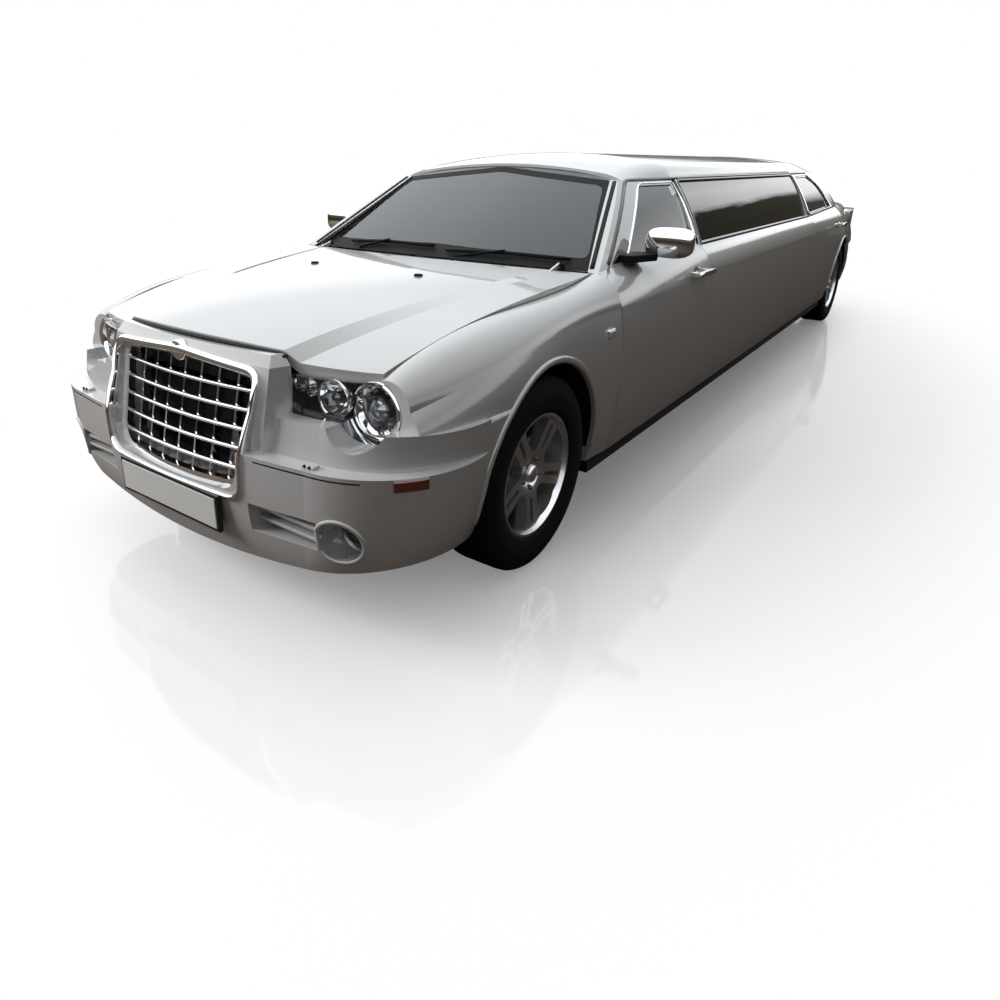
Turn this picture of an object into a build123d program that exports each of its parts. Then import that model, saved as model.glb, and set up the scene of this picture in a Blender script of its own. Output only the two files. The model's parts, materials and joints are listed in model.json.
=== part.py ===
"""Stretch limousine: a four-door saloon lengthened between its front and rear doors.

Units are millimetres. While modelling, y is measured backwards from the front axle, x to the car's left
and z up from the road. Each piece is moved to the middle of the car's length when it is written.
"""

from build123d import *
import math
import os

# Driving dimensions
WHEELBASE = 5588.0          # a 3048 saloon with 2540 let in behind the front doors
FRONT_OVERHANG = 897.0
REAR_OVERHANG = 1054.0
TRACK = 1600.0
TYRE_RADIUS = 363.5
TYRE_WIDTH = 225.0
RIM_RADIUS = 238.0          # outside of the rim's flange
ARCH_RADIUS = 404.0
ARCH_LIFT = 10.0            # the arch's centre above the wheel's
SHUT_GAP = 7.0              # between a door or lid and the panel beside it
SILL_Z = 280.0              # bottom of the painted side
GLASS = 5.0
SEAT = 0.3                  # between a fitted piece and the curved panel it sits in
RUNNING = 0.05              # between a pin and its bore
DOOR_DRAFT = 16.0           # degrees that a door's rear edge leans, so that it swings clear

REAR_AXLE = WHEELBASE
Y_FRONT = -FRONT_OVERHANG
Y_REAR = WHEELBASE + REAR_OVERHANG
Y_MID = (Y_FRONT + Y_REAR) / 2

# Where the side panels part
DOOR_FRONT = 556.0
DOOR_REAR = 1670.0
REAR_DOOR_FRONT = 4260.0
FENDER_FRONT = -640.0

# Body side, one row a station. All are half widths, apart from the heights z.
# y, sill, waist, shoulder, belt, belt z, rail
SIDE = {
    "a_post": (DOOR_FRONT, 905, 945, 922, 812, 1014, 578),
    "b_post": (DOOR_REAR, 905, 945, 926, 850, 1030, 655),
    "stretch_end": (REAR_DOOR_FRONT, 905, 945, 926, 850, 1030, 655),
    "c_post": (REAR_AXLE + 30, 905, 945, 910, 800, 1046, 590),
    "deck": (REAR_AXLE + 620, 880, 906, 860, 742, 1050, 560),
}
WAIST_Z = 640.0
SHOULDER_Z = 890.0
RAIL_Z = 1345.0
WALL = 95.0                 # a door from skin to trim
FRAME_WALL = 38.0           # pillars and window frames
PANE_DEPTH = 9.0            # how far a pane lies inside the skin


def at_x(x):
    return lambda p: Vector(x, p[0], p[1])


def at_y(y):
    return lambda p: Vector(p[0], y, p[1])


def at_z(z):
    return lambda p: Vector(p[0], p[1], z)


def outline(lift, start, *steps):
    """A closed wire. A step is a point, for a line, or a pair (point on the arc, end), for an arc."""
    edges = []
    here = start
    for step in (*steps, start):
        if isinstance(step[0], tuple):
            edges.append(Edge.make_three_point_arc(lift(here), lift(step[0]), lift(step[1])))
            here = step[1]
        elif math.dist(here, step) > 1e-6:
            edges.append(Edge.make_line(lift(here), lift(step)))
            here = step
    return Wire(edges)


def prism(wire, vector):
    return Solid.extrude(Face(wire), Vector(*vector))


def side_prism(x0, x1, start, *steps):
    """A y-z outline pulled across the car from x0 to x1."""
    return prism(outline(at_x(x0), start, *steps), (x1 - x0, 0, 0))


def cross_prism(y0, y1, start, *steps):
    return prism(outline(at_y(y0), start, *steps), (0, y1 - y0, 0))


def plan_prism(z0, z1, start, *steps):
    return prism(outline(at_z(z0), start, *steps), (0, 0, z1 - z0))


def block(x0, x1, y0, y1, z0, z1):
    return Pos((x0 + x1) / 2, (y0 + y1) / 2, (z0 + z1) / 2) * Box(x1 - x0, y1 - y0, z1 - z0)


def tube_x(x0, x1, y, z, radius):
    return Pos((x0 + x1) / 2, y, z) * Rot(0, 90, 0) * Cylinder(radius, abs(x1 - x0))


def rod_z(x, y, z0, z1, radius):
    return Pos(x, y, (z0 + z1) / 2) * Cylinder(radius, z1 - z0)


def mirrored(shape):
    return mirror(shape, about=Plane.YZ)


def solids_of(shape):
    if isinstance(shape, (list, tuple)):
        return [s for one in shape for s in solids_of(one)]
    return list(shape.solids())


def joined(first, *more):
    for piece in more:
        first = first + piece
    return first


def mix(a, b, t):
    return tuple(p + (q - p) * t for p, q in zip(a, b))


def side_wire(row):
    """The closed section of the body side, sill to roof rail, at one station."""
    y, sill, waist, shoulder, belt, belt_z, rail = row
    return outline(
        at_y(y), (sill, SILL_Z),
        ((waist - 10, (SILL_Z + WAIST_Z) / 2), (waist, WAIST_Z)),
        ((waist - 4, (WAIST_Z + SHOULDER_Z) / 2 + 10), (shoulder, SHOULDER_Z)),
        (((shoulder + belt) / 2 + 12, (SHOULDER_Z + belt_z) / 2 + 12), (belt, belt_z)),
        (((belt + rail) / 2 + 10, (belt_z + RAIL_Z) / 2 + 6), (rail, RAIL_Z)),
        (rail - FRAME_WALL, RAIL_Z), (belt - FRAME_WALL - 8, belt_z),
        (waist - WALL, belt_z - 60), (waist - WALL, SILL_Z + 60), (sill - WALL + 20, SILL_Z),
    )


def side_run(*stations):
    """The body side between stations, as ruled lengths fused end to end."""
    wires = [side_wire(SIDE[s]) for s in stations]
    runs = [Solid.make_loft([a, b], ruled=True) for a, b in zip(wires, wires[1:])]
    whole = runs[0]
    for run in runs[1:]:
        whole = whole + run
    return whole


def wheel_cut(y, radius, x0=560, x1=1100):
    """What the wheel's arch takes out of a panel: a round top with straight sides below the axle."""
    z = TYRE_RADIUS + ARCH_LIFT
    return tube_x(x0, x1, y, z, radius) + block(x0, x1, y - radius, y + radius, 0, z)


# Doors and side glass: y-z outlines
BELT = 1032.0
FRONT_DOOR_TOP = 1196.0     # y where the front door's frame meets the roof rail
HEAD_Z = RAIL_Z - SHUT_GAP
B_LEAN = 64.0               # the B post leans back this much towards the roof
X_IN, X_OUT = 480.0, 1020.0  # side cuts reach from inside the cabin to outside the skin

FRONT_WINDOW = [(850, BELT + 8), (1618, BELT + 20), (1680, 1320), (1290, 1320)]
LONG_WINDOW = [(DOOR_REAR + 26, BELT + 12), (REAR_DOOR_FRONT - 26, BELT + 12),
               (REAR_DOOR_FRONT + B_LEAN - 26, 1332), (DOOR_REAR + B_LEAN + 26, 1332)]
REAR_WINDOW = [(REAR_DOOR_FRONT + 46, BELT + 24), (5440, BELT + 36), (5215, 1244), (4965, 1316),
               (REAR_DOOR_FRONT + B_LEAN + 46, 1316)]
REAR_DOOR_EDGE = [(5126, SILL_Z), (5126, 380), (5150, 520), (5215, 640), (5330, 745),
                  (5404, SHOULDER_Z), (5486, 1050), (5256, 1250)]
REAR_DOOR_TOP = 5020.0      # y where the rear door's frame leaves the roof rail
HINGE_X = 945.0             # door hinges lie in the shut gap, level with the skin
HINGE_RADIUS = 2.8
KNUCKLE = 40.0
HINGE_LEVELS = (590.0,)
REAR_DOOR_GAP = 10.0        # measured along the car, where the edge slants


def skin_x(z):
    """The skin's half width at a height, near enough to hang a door's draft on."""
    _, sill, waist, shoulder, belt, _, rail = SIDE["b_post"]
    levels = [
        (0, sill), (SILL_Z, sill), (WAIST_Z, waist), (SHOULDER_Z, shoulder), (BELT, belt), (RAIL_Z, rail),
        (2 * RAIL_Z, rail)]
    for (z0, x0), (z1, x1) in zip(levels, levels[1:]):
        if z <= z1:
            return x0 + (x1 - x0) * (z - z0) / (z1 - z0)


def door_cutter(front_edge, rear_edge):
    """A door's side outline. Inside the skin its rear edge leans forward, so that it swings clear."""
    lean = math.tan(math.radians(DOOR_DRAFT))

    def loop(x):
        rear = [(y + (x - skin_x(z)) * lean, z) for y, z in rear_edge]
        return outline(at_x(x), *front_edge, *reversed(rear))

    return Solid.make_loft([loop(X_IN), loop(X_OUT)], ruled=True)


def side_row(first, second, y):
    """The body side's row at a place between two stations."""
    a, b = SIDE[first], SIDE[second]
    return mix(a, b, (y - a[0]) / (b[0] - a[0]))


def pane(stations, points):
    """A pane that fills a window opening, a little inside the skin."""
    wires = []
    for y in (min(p[0] for p in points), max(p[0] for p in points)):
        belt, belt_z, rail = side_row(*stations, y)[4:7]
        out = PANE_DEPTH
        mid = ((belt + rail) / 2 + 10, (belt_z + RAIL_Z) / 2 + 6)
        back = out + GLASS
        wires.append(outline(
            at_y(y), (belt - out, belt_z - 25), ((mid[0] - out, mid[1]), (rail - out, RAIL_Z)),
            (rail - back, RAIL_Z), ((mid[0] - back, mid[1]), (belt - back, belt_z - 25))))
    return Solid.make_loft(wires, ruled=True) & side_prism(X_IN, X_OUT, *points)


def handle(y):
    """A pull handle on two feet, standing off the door."""
    bar = fillet(block(944, 966, y - 105, y + 105, 911, 935).edges(), 8)
    feet = [block(915, 950, y + s * 80 - 18, y + s * 80 + 18, 914, 932) for s in (-1, 1)]
    return bar + feet[0] + feet[1]


def hinge_knuckles(y, on_door):
    """A stack of hinge knuckles in the shut gap: the middle one is the door's, the outer two the body's."""
    made = []
    for low in HINGE_LEVELS:
        spans = [(low + KNUCKLE + SEAT, low + 2 * KNUCKLE)] if on_door else [
            (low, low + KNUCKLE), (low + 2 * KNUCKLE + SEAT, low + 3 * KNUCKLE)]
        leaf = (y, y + 6) if on_door else (y - 6, y)
        for z0, z1 in spans:
            plate = block(HINGE_X - 8, HINGE_X - 3, *leaf, z0, z1)
            made.append(rod_z(HINGE_X, y, z0, z1, HINGE_RADIUS) + plate)
    return made


def front_door():
    skin = side_run("a_post", "b_post")
    start = DOOR_FRONT + SHUT_GAP
    front = [(start, SILL_Z), (start, 985), (648, 1010), (FRONT_DOOR_TOP, HEAD_Z)]
    end = DOOR_REAR - SHUT_GAP
    rear = [(end, SILL_Z), (end, WAIST_Z), (end, SHOULDER_Z), (end, BELT), (end + B_LEAN, HEAD_Z)]
    shape = (skin & door_cutter(front, rear)) - side_prism(X_IN, X_OUT, *FRONT_WINDOW)
    return joined(shape, handle(1465), *hinge_knuckles(DOOR_FRONT + SHUT_GAP / 2, True))


def rear_door():
    skin = side_run("stretch_end", "c_post")
    start = REAR_DOOR_FRONT + SHUT_GAP
    front = [(start, SILL_Z), (start, BELT), (start + B_LEAN, HEAD_Z)]
    rear = [(y - REAR_DOOR_GAP, z) for y, z in REAR_DOOR_EDGE[:-1]]
    corner_y, corner_z = REAR_DOOR_EDGE[-1]
    rear += [(corner_y - REAR_DOOR_GAP, corner_z - SHUT_GAP), (REAR_DOOR_TOP - 3 * REAR_DOOR_GAP, HEAD_Z)]
    shape = (skin & door_cutter(front, rear)) - side_prism(X_IN, X_OUT, *REAR_WINDOW)
    return joined(shape, handle(5255), *hinge_knuckles(REAR_DOOR_FRONT + SHUT_GAP / 2, True))


def side_panel():
    """The let-in length between the doors: B post, long window and the post ahead of the rear door."""
    skin = side_run("b_post", "stretch_end") & side_prism(
        X_IN, X_OUT, (DOOR_REAR, SILL_Z), (REAR_DOOR_FRONT, SILL_Z), (REAR_DOOR_FRONT, RAIL_Z),
        (DOOR_REAR + B_LEAN, RAIL_Z), (DOOR_REAR, BELT))
    post = side_run("stretch_end", "c_post") & side_prism(
        X_IN, X_OUT, (REAR_DOOR_FRONT, BELT), (REAR_DOOR_FRONT + B_LEAN, RAIL_Z), (REAR_DOOR_FRONT, RAIL_Z))
    shape = skin + post - side_prism(X_IN, X_OUT, *LONG_WINDOW)
    return joined(shape, *hinge_knuckles(REAR_DOOR_FRONT + SHUT_GAP / 2, False))


DECK_START = REAR_AXLE + 212.0   # where the C post has come down to the boot's deck
LID_EDGE = 620.0
LID_SIDE_Z = 1064.0
WING_STEP = 0.8             # the rear wing lies this much inside the C post's skin where they meet


def tail_wire(y, sill, waist, shoulder, belt, belt_z):
    """The rear wing's section behind the cabin, from the sill over the shoulder to the boot lid's edge."""
    edge = LID_EDGE + SHUT_GAP
    return outline(
        at_y(y), (sill, SILL_Z),
        ((waist - 10, (SILL_Z + WAIST_Z) / 2), (waist, WAIST_Z)),
        ((waist - 4, (WAIST_Z + SHOULDER_Z) / 2 + 10), (shoulder, SHOULDER_Z)),
        (((shoulder + belt) / 2 + 12, (SHOULDER_Z + belt_z) / 2 + 12), (belt, belt_z)),
        (edge, belt_z + 14), (edge, belt_z - 26), (belt - 50, belt_z - 40),
        (waist - 60, SHOULDER_Z - 30), (waist - 60, SILL_Z + 60), (sill - 50, SILL_Z),
    )


# Rear wing behind the cabin: y, sill, waist, shoulder, belt, belt z
TAIL = [
    (DECK_START - 1, *[value - WING_STEP for value in side_row("c_post", "deck", DECK_START)[1:6]]),
    (REAR_AXLE + 560, 882, 908, 862, 744, 1050),
    (REAR_AXLE + 980, 820, 836, 800, 694, 1038),
]


def quarter():
    """Rear wing with its arch, and the C post up to the roof."""
    post = side_run("stretch_end", "c_post", "deck") & side_prism(
        X_IN, X_OUT, *REAR_DOOR_EDGE, (REAR_DOOR_TOP, HEAD_Z), (REAR_DOOR_TOP, RAIL_Z), (5345, RAIL_Z),
        (DECK_START, 1072), (DECK_START, SILL_Z))
    tail = Solid.make_loft([tail_wire(*row) for row in TAIL], ruled=False)
    shape = post + tail - wheel_cut(REAR_AXLE, ARCH_RADIUS)
    shape -= block(500, X_OUT, REAR_AXLE, Y_REAR + 400, 0, REAR_SEAM)
    return shape - tail_lamp_space(SEAT)


# Front wing: y, bonnet edge, its z, shoulder, waist, sill, shoulder z
WING = [
    (-700.0, 722, 806, 800, 838, 800, 740),
    (-480.0, 746, 896, 882, 915, 875, 800),
    (-150.0, 768, 948, 915, 944, 903, 850),
    (DOOR_FRONT, 800, 1012, 922, 945, 905, 884),
]
BUMPER_SEAM = 700.0         # height of the joint between wing and front bumper
REAR_SEAM = 705.0


def fender_wire(y, edge, edge_z, shoulder, waist, sill, shoulder_z):
    """The wing's closed section from the bonnet's edge down to the sill."""
    return outline(
        at_y(y), (sill, SILL_Z),
        ((waist - 10, (SILL_Z + WAIST_Z) / 2), (waist, WAIST_Z)),
        ((waist - 4, (WAIST_Z + shoulder_z) / 2 + 8), (shoulder, shoulder_z)),
        (((edge + shoulder) / 2 + 22, (edge_z + shoulder_z) / 2 + 22), (edge, edge_z)),
        (edge + 4, edge_z - 44), (shoulder - 60, shoulder_z - 44), (waist - 50, WAIST_Z), (sill - 50, SILL_Z),
    )


def fender():
    shape = Solid.make_loft([fender_wire(*row) for row in WING], ruled=False)
    shape -= wheel_cut(0, ARCH_RADIUS)
    shape -= block(500, 1100, -900, 0, 0, BUMPER_SEAM)
    shape -= block(500, 1100, -900, FENDER_FRONT, 0, 1200)
    return joined(shape - lamp_space(SEAT), *hinge_knuckles(DOOR_FRONT + SHUT_GAP / 2, False))


# Bonnet: y, middle z, crease x and z, valley x and z, edge x and z
BONNET = [
    (-760.0, 892, 392, 876, 440, 838, 716, 804),
    (-420.0, 958, 455, 940, 520, 918, 750, 908),
    (60.0, 1008, 545, 990, 605, 982, 776, 974),
    (600.0, 1040, 625, 1026, 680, 1020, 800, 1014),
]
BONNET_SKIN = 34.0
BONNET_REAR = 540.0
BONNET_FRONT = -744.0
BONNET_HINGE_Y, BONNET_HINGE_Z = 548.0, 1030.0
PIN_RADIUS = 5.0            # of the bonnet's and the boot lid's hinges


def bonnet_wire(y, mid_z, crease, crease_z, valley, valley_z, edge, edge_z):
    low = BONNET_SKIN
    half = [(crease, crease_z), (valley, valley_z), (edge, edge_z)]
    left = [*half, *[(x, z - low) for x, z in reversed(half)]]
    right = [(-x, z) for x, z in reversed(left)]
    return outline(at_y(y), *left, ((0, mid_z - low), right[0]), *right[1:], ((0, mid_z), left[0]))


def bonnet_plan(low, grow):
    """The bonnet's outline from above. Grown by the shut gap, it is the space that other panels leave."""
    rows = [(-900, 700), (-700, 722), (-480, 746), (-150, 768), (BONNET_REAR, 798)]
    left = [(x - SHUT_GAP + grow, y) for y, x in rows]
    sides = plan_prism(low, 1200, *left, *[(-x, y) for x, y in reversed(left)])
    rear, front = BONNET_REAR + grow, BONNET_FRONT - grow
    ends = plan_prism(
        low, 1200, (790, rear), ((0, rear - 148), (-790, rear)), (-790, front + 138),
        ((0, front), (790, front + 138)))
    return ends & sides


def bonnet():
    shape = Solid.make_loft([bonnet_wire(*row) for row in BONNET], ruled=False)
    shape &= bonnet_plan(600, 0)
    for s in (-1, 1):
        ear = tube_x(s * 640, s * 650, BONNET_HINGE_Y, BONNET_HINGE_Z, PIN_RADIUS + 5)
        ear += side_prism(s * 640, s * 650, (430, 990), (450, 1010), (BONNET_HINGE_Y, BONNET_HINGE_Z + 9),
                          (BONNET_HINGE_Y, BONNET_HINGE_Z - 9))
        shape += ear - tube_x(s * 630, s * 660, BONNET_HINGE_Y, BONNET_HINGE_Z, PIN_RADIUS + RUNNING)
    return shape


# Roof: y, middle z
ROOF = [(1152.0, 1414), (1440.0, 1457), (DOOR_REAR, 1470)]
ROOF_TAIL = [(REAR_DOOR_FRONT, 1470), (4800.0, 1462), (5345.0, 1408)]
ROOF_SKIN = 34.0
CROWN_RADIUS = 3500.0
CROWN_SIDE = 95.0           # how far in from the rail the crown gives way to the tighter edge


def rail_at(y):
    """The roof rail's half width at a distance along the car."""
    rows = list(SIDE.values())
    for a, b in zip(rows, rows[1:]):
        if a[0] <= y <= b[0]:
            return mix(a, b, (y - a[0]) / (b[0] - a[0]))[6]


def roof_wire(y, mid_z):
    rail = rail_at(y)
    half = rail - CROWN_SIDE
    edge_z = mid_z - half * half / (2 * CROWN_RADIUS)
    slope = math.degrees(math.asin(half / CROWN_RADIUS))
    chord = math.degrees(math.atan2(edge_z - RAIL_Z, CROWN_SIDE))
    length = math.hypot(edge_z - RAIL_Z, CROWN_SIDE)
    rise = length / 2 * math.tan(math.radians((chord - slope) / 2))
    turn = math.radians(chord)
    knee_x = rail - CROWN_SIDE / 2 + rise * math.sin(turn)
    knee_z = (edge_z + RAIL_Z) / 2 + rise * math.cos(turn)
    inner, inner_z = half - 10, edge_z - ROOF_SKIN
    return outline(
        at_y(y), (rail, RAIL_Z), ((knee_x, knee_z), (half, edge_z)), ((0, mid_z), (-half, edge_z)),
        ((-knee_x, knee_z), (-rail, RAIL_Z)), (-rail + FRAME_WALL, RAIL_Z), (-inner, inner_z),
        ((0, mid_z - ROOF_SKIN), (inner, inner_z)), (rail - FRAME_WALL, RAIL_Z),
    )


def a_post():
    return side_run("a_post", "b_post") & side_prism(
        X_IN, X_OUT, (DOOR_FRONT, 993), (DOOR_FRONT + SHUT_GAP, 993), (643, 1018),
        (FRONT_DOOR_TOP - 8, RAIL_Z), (1120, RAIL_Z), (DOOR_FRONT, 1010))


def roof():
    front = Solid.make_loft([roof_wire(*row) for row in ROOF], ruled=False)
    middle = Solid.make_loft([roof_wire(*ROOF[-1]), roof_wire(*ROOF_TAIL[0])], ruled=True)
    tail = Solid.make_loft([roof_wire(*row) for row in ROOF_TAIL], ruled=False)
    return front + middle + tail


SCREEN_RADIUS = 2066.0      # bow of the windscreen in plan
SCREEN_FOOT = (470.0, 1010.0)
SCREEN_HEAD = (1066.0, 1352.0)
BACKLIGHT_FOOT = (5890.0, 1080.0)
BACKLIGHT_HEAD = (5330.0, 1408.0)
BACKLIGHT_RADIUS = 2400.0


def bowed_pane(foot, head, radius, outline_xz):
    """A pane bowed in plan and raked from foot to head, trimmed to its outline seen from the front."""
    rise = (head[0] - foot[0]) / (head[1] - foot[1])
    way = 1 if rise > 0 else -1
    half = 840.0
    sag = way * (radius - math.sqrt(radius * radius - half * half))
    deep = way * GLASS * 2.0
    wires = []
    for z in (foot[1] - 60, head[1] + 80):
        y = foot[0] + (z - foot[1]) * rise
        end = y + sag
        wires.append(outline(
            at_z(z), (-half, end), ((0, y), (half, end)), (half, end + deep),
            ((0, y + deep), (-half, end + deep))))
    slab = Solid.make_loft(wires, ruled=True)
    return slab & cross_prism(0, 7000, *outline_xz)


# Screens seen square on: foot half width, foot z at the side and middle, then the same three at the head
WINDSCREEN_EDGE = (775, 1004, 1020, 596, 1345, 1406)
BACKLIGHT_EDGE = (742, 1082, 1092, 575, 1344, 1404)


def screen_outline(foot, foot_z, foot_mid, head, head_z, head_mid):
    low = [(-foot, foot_z), ((0, foot_mid), (foot, foot_z))]
    return low + [(head, head_z), ((0, head_mid), (-head, head_z))]


def windscreen():
    return bowed_pane(SCREEN_FOOT, SCREEN_HEAD, SCREEN_RADIUS, screen_outline(*WINDSCREEN_EDGE))


def backlight():
    return bowed_pane(BACKLIGHT_FOOT, BACKLIGHT_HEAD, BACKLIGHT_RADIUS, screen_outline(*BACKLIGHT_EDGE))


# Boot lid: y, edge z, middle z
LID = [(5937.0, 1064, 1084), (6300.0, 1063, 1080), (6600.0, 1046, 1058)]
LID_SKIN = 30.0
LID_LIP_Z = 760.0
BOOT_HINGE_Y, BOOT_HINGE_Z = 5926.0, 1072.0


def lid_wire(y, side, mid):
    return outline(
        at_y(y), (LID_EDGE, side), ((0, mid), (-LID_EDGE, side)), (-LID_EDGE, side - LID_SKIN),
        ((0, mid - LID_SKIN), (LID_EDGE, side - LID_SKIN)))


def boot_lid():
    """Top and rear face in one, hung on two ears at its front edge."""
    top = Solid.make_loft([lid_wire(*row) for row in LID], ruled=False)
    tail = side_prism(
        -LID_EDGE, LID_EDGE, (6560, 1040), (6600, 1046), ((6618, 1030), (6620, 1000)), (6632, LID_LIP_Z),
        (6590, LID_LIP_Z), (6572, 1000))
    _, side, mid = LID[-1]
    tail &= cross_prism(
        6400, 6700, (-LID_EDGE, 700), (LID_EDGE, 700), (LID_EDGE, side), ((0, mid), (-LID_EDGE, side)))
    shape = top + tail
    for s in (-1, 1):
        ear = tube_x(s * 521, s * 531, BOOT_HINGE_Y, BOOT_HINGE_Z, PIN_RADIUS + 5)
        ear += block(s * 526 - 5, s * 526 + 5, BOOT_HINGE_Y, 5960, 1048, 1064)
        shape += ear - tube_x(s * 510, s * 545, BOOT_HINGE_Y, BOOT_HINGE_Z, PIN_RADIUS + RUNNING)
    return shape


# Front bumper, one plan outline a level: z, side x, corner x and y, front end x and y, nose y
BUMPER = [
    (215.0, 850, 800, -640, 560, -806, -852),
    (330.0, 898, 846, -690, 585, -838, -884),
    (470.0, 930, 872, -700, 600, -848, -897),
    (596.0, 940, 880, -700, 605, -846, -893),
]
BUMPER_BACK = -398.0
SHELF = [
    (596.0, 940, 872, -640, 600, -786, -830),
    (BUMPER_SEAM, 944, 872, -630, 590, -760, -800),
]
FOG_X, FOG_Z, FOG_RADIUS = 702.0, 385.0, 64.0
VENT_IN, VENT_OUT, VENT_LOW, VENT_HIGH = 380.0, 640.0, 345.0, 440.0


def bumper_wire(z, side, corner_x, corner_y, front_x, front_y, nose_y, back=BUMPER_BACK, turn=None, tuck=0):
    """Straight from the wheel's arch to the turn, round the corner, and bowed across the end."""
    left = [(side, back)]
    if turn is not None:
        left.append((side - tuck, turn))
    turn_x, turn_y = left[-1]
    right = [(-x, y) for x, y in reversed(left)]
    return outline(
        at_z(z), *left, ((corner_x, corner_y), (front_x, front_y)), ((0, nose_y), (-front_x, front_y)),
        ((-corner_x, corner_y), (-turn_x, turn_y)), *right[1:])


# The grille's opening, seen from the front
GRILLE_TOP, GRILLE_CROWN, GRILLE_BOTTOM = 816.0, 838.0, 456.0
GRILLE_HALF_TOP, GRILLE_HALF_LOW = 364.0, 340.0


def grille_outline(grow):
    top, low = GRILLE_HALF_TOP + grow, GRILLE_HALF_LOW + grow
    z1, z0 = GRILLE_TOP + grow, GRILLE_BOTTOM - grow
    return [
        (-low, z0 + 80), ((-low + 24, z0 + 26), (-low + 90, z0 + 8)), ((0, z0), (low - 90, z0 + 8)),
        ((low - 24, z0 + 26), (low, z0 + 80)), (top, z1 - 30), ((top - 8, z1 - 8), (top - 32, z1)),
        ((0, GRILLE_CROWN + grow), (-top + 32, z1)), ((-top + 8, z1 - 8), (-top, z1 - 30)),
    ]


# Nose round the grille, one plan outline a level: z, half width, side y, middle y
NOSE = [
    (440.0, 405, -858, -897),
    (640.0, 415, -828, -862),
    (846.0, 408, -776, -806),
    (880.0, 392, -752, -776),
]
NOSE_BACK, NOSE_FLARE = -640.0, 50.0


def nose_wire(z, half, side_y, middle_y):
    back = half + NOSE_FLARE
    return outline(
        at_z(z), (back, NOSE_BACK), (half, side_y), ((0, middle_y), (-half, side_y)), (-back, NOSE_BACK))


def nose():
    """The block that carries the grille, rising from the bumper to the bonnet's edge."""
    return Solid.make_loft([nose_wire(*row) for row in NOSE], ruled=True)


def front_bumper():
    lower = Solid.make_loft([bumper_wire(*row) for row in BUMPER], ruled=False)
    shelf = Solid.make_loft([bumper_wire(*row) for row in SHELF], ruled=True)
    inside = plan_prism(
        150, 900, (830, BUMPER_BACK), ((760, -590), (520, -700)), ((0, -745), (-520, -700)),
        ((-760, -590), (-830, BUMPER_BACK)))
    shape = lower + shelf + nose() - inside
    shape -= cross_prism(-1000, -300, (-1000, 320), ((0, 216), (1000, 320)), (1000, 100), (-1000, 100))
    shape -= cross_prism(-1000, -560, *grille_outline(0))
    fog_bore = Pos(FOG_X, -800, FOG_Z) * Rot(90, 0, 0) * Cylinder(FOG_RADIUS, 400)
    vent = block(VENT_IN, VENT_OUT, -1000, -600, VENT_LOW, VENT_HIGH)
    for cut in (fog_bore, vent, wheel_cut(0, ARCH_RADIUS), lamp_space(SEAT)):
        shape -= cut
        shape -= mirrored(cut)
    return shape - bonnet_plan(800, SHUT_GAP)


def lamp_face(grow):
    """The headlamp seen from the front: a box towards the grille and a round lamp outside."""
    g = grow
    box_part = cross_prism(-900, -480, (448 - g, 824 + g), (722, 828 + g), (722, 700 - g), (434 - g, 700 - g))
    round_part = Pos(702, -690, 738) * Rot(90, 0, 0) * Cylinder(96 + g, 420)
    return box_part + round_part


def lamp_space(grow):
    return lamp_face(grow) & block(400, 900, -900, -480, 500, 900)


def headlamp():
    front = plan_prism(500, 900, (430, -722), ((640, -690), (810, -585)), (810, -520), (430, -600))
    return (lamp_face(0) & front) - bonnet_plan(790, SHUT_GAP)


TAIL_LAMP_LOW, TAIL_LAMP_HIGH = 735.0, 1000.0
TAIL_LAMP_FOOT, TAIL_LAMP_HEAD = REAR_AXLE + 880.0, REAR_AXLE + 860.0


def tail_lamp_space(grow):
    low, high = TAIL_LAMP_LOW - grow, TAIL_LAMP_HIGH + grow
    end = Y_REAR + 400
    return side_prism(
        LID_EDGE, X_OUT, (TAIL_LAMP_FOOT - grow, low), (end, low), (end, high), (TAIL_LAMP_HEAD - grow, high))


def tail_lamp():
    edge = LID_EDGE + SHUT_GAP
    corner = plan_prism(
        700, 1040, (edge, 6470), (842, 6440), (836, 6510), ((800, 6576), (725, 6604)), (edge, 6624))
    return corner & tail_lamp_space(0)


# Rear bumper, one plan outline a level, as at the front
REAR_BUMPER = [
    (250.0, 872, 762, 6510, 560, 6582, 6606),
    (420.0, 916, 800, 6540, 600, 6618, 6642),
    (560.0, 930, 808, 6544, 610, 6618, 6642),
    (REAR_SEAM, 922, 796, 6536, 610, 6610, 6634),
]
REAR_BACK = REAR_AXLE + 396.0
REAR_TURN, REAR_TUCK = 6340.0, 66.0


def rear_bumper():
    wires = [bumper_wire(*row, REAR_BACK, REAR_TURN, REAR_TUCK) for row in REAR_BUMPER]
    lower = Solid.make_loft(wires, ruled=False)
    inside = plan_prism(
        200, 900, (826, REAR_BACK), ((732, 6400), (540, 6510)), ((0, 6540), (-540, 6510)),
        ((-732, 6400), (-826, REAR_BACK)))
    panel = plan_prism(REAR_SEAM, 752, (-600, 6560), (600, 6560), (600, 6602), ((0, 6628), (-600, 6602)))
    arch = wheel_cut(REAR_AXLE, ARCH_RADIUS)
    return lower + panel - inside - arch - mirrored(arch)


GRILLE_FOOT = (-876.0, 470.0)   # y and z of the grille's face at its middle, low and high
GRILLE_HEAD = (-792.0, 820.0)
GRILLE_BOW = 35.4               # how far the face falls back at the sides
GRILLE_EDGE = 380.0
GRILLE_ROWS, GRILLE_COLUMNS = 6, 8
GRILLE_BAR, GRILLE_POST = 12.0, 8.0
POST_PITCH = 84.0


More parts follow.
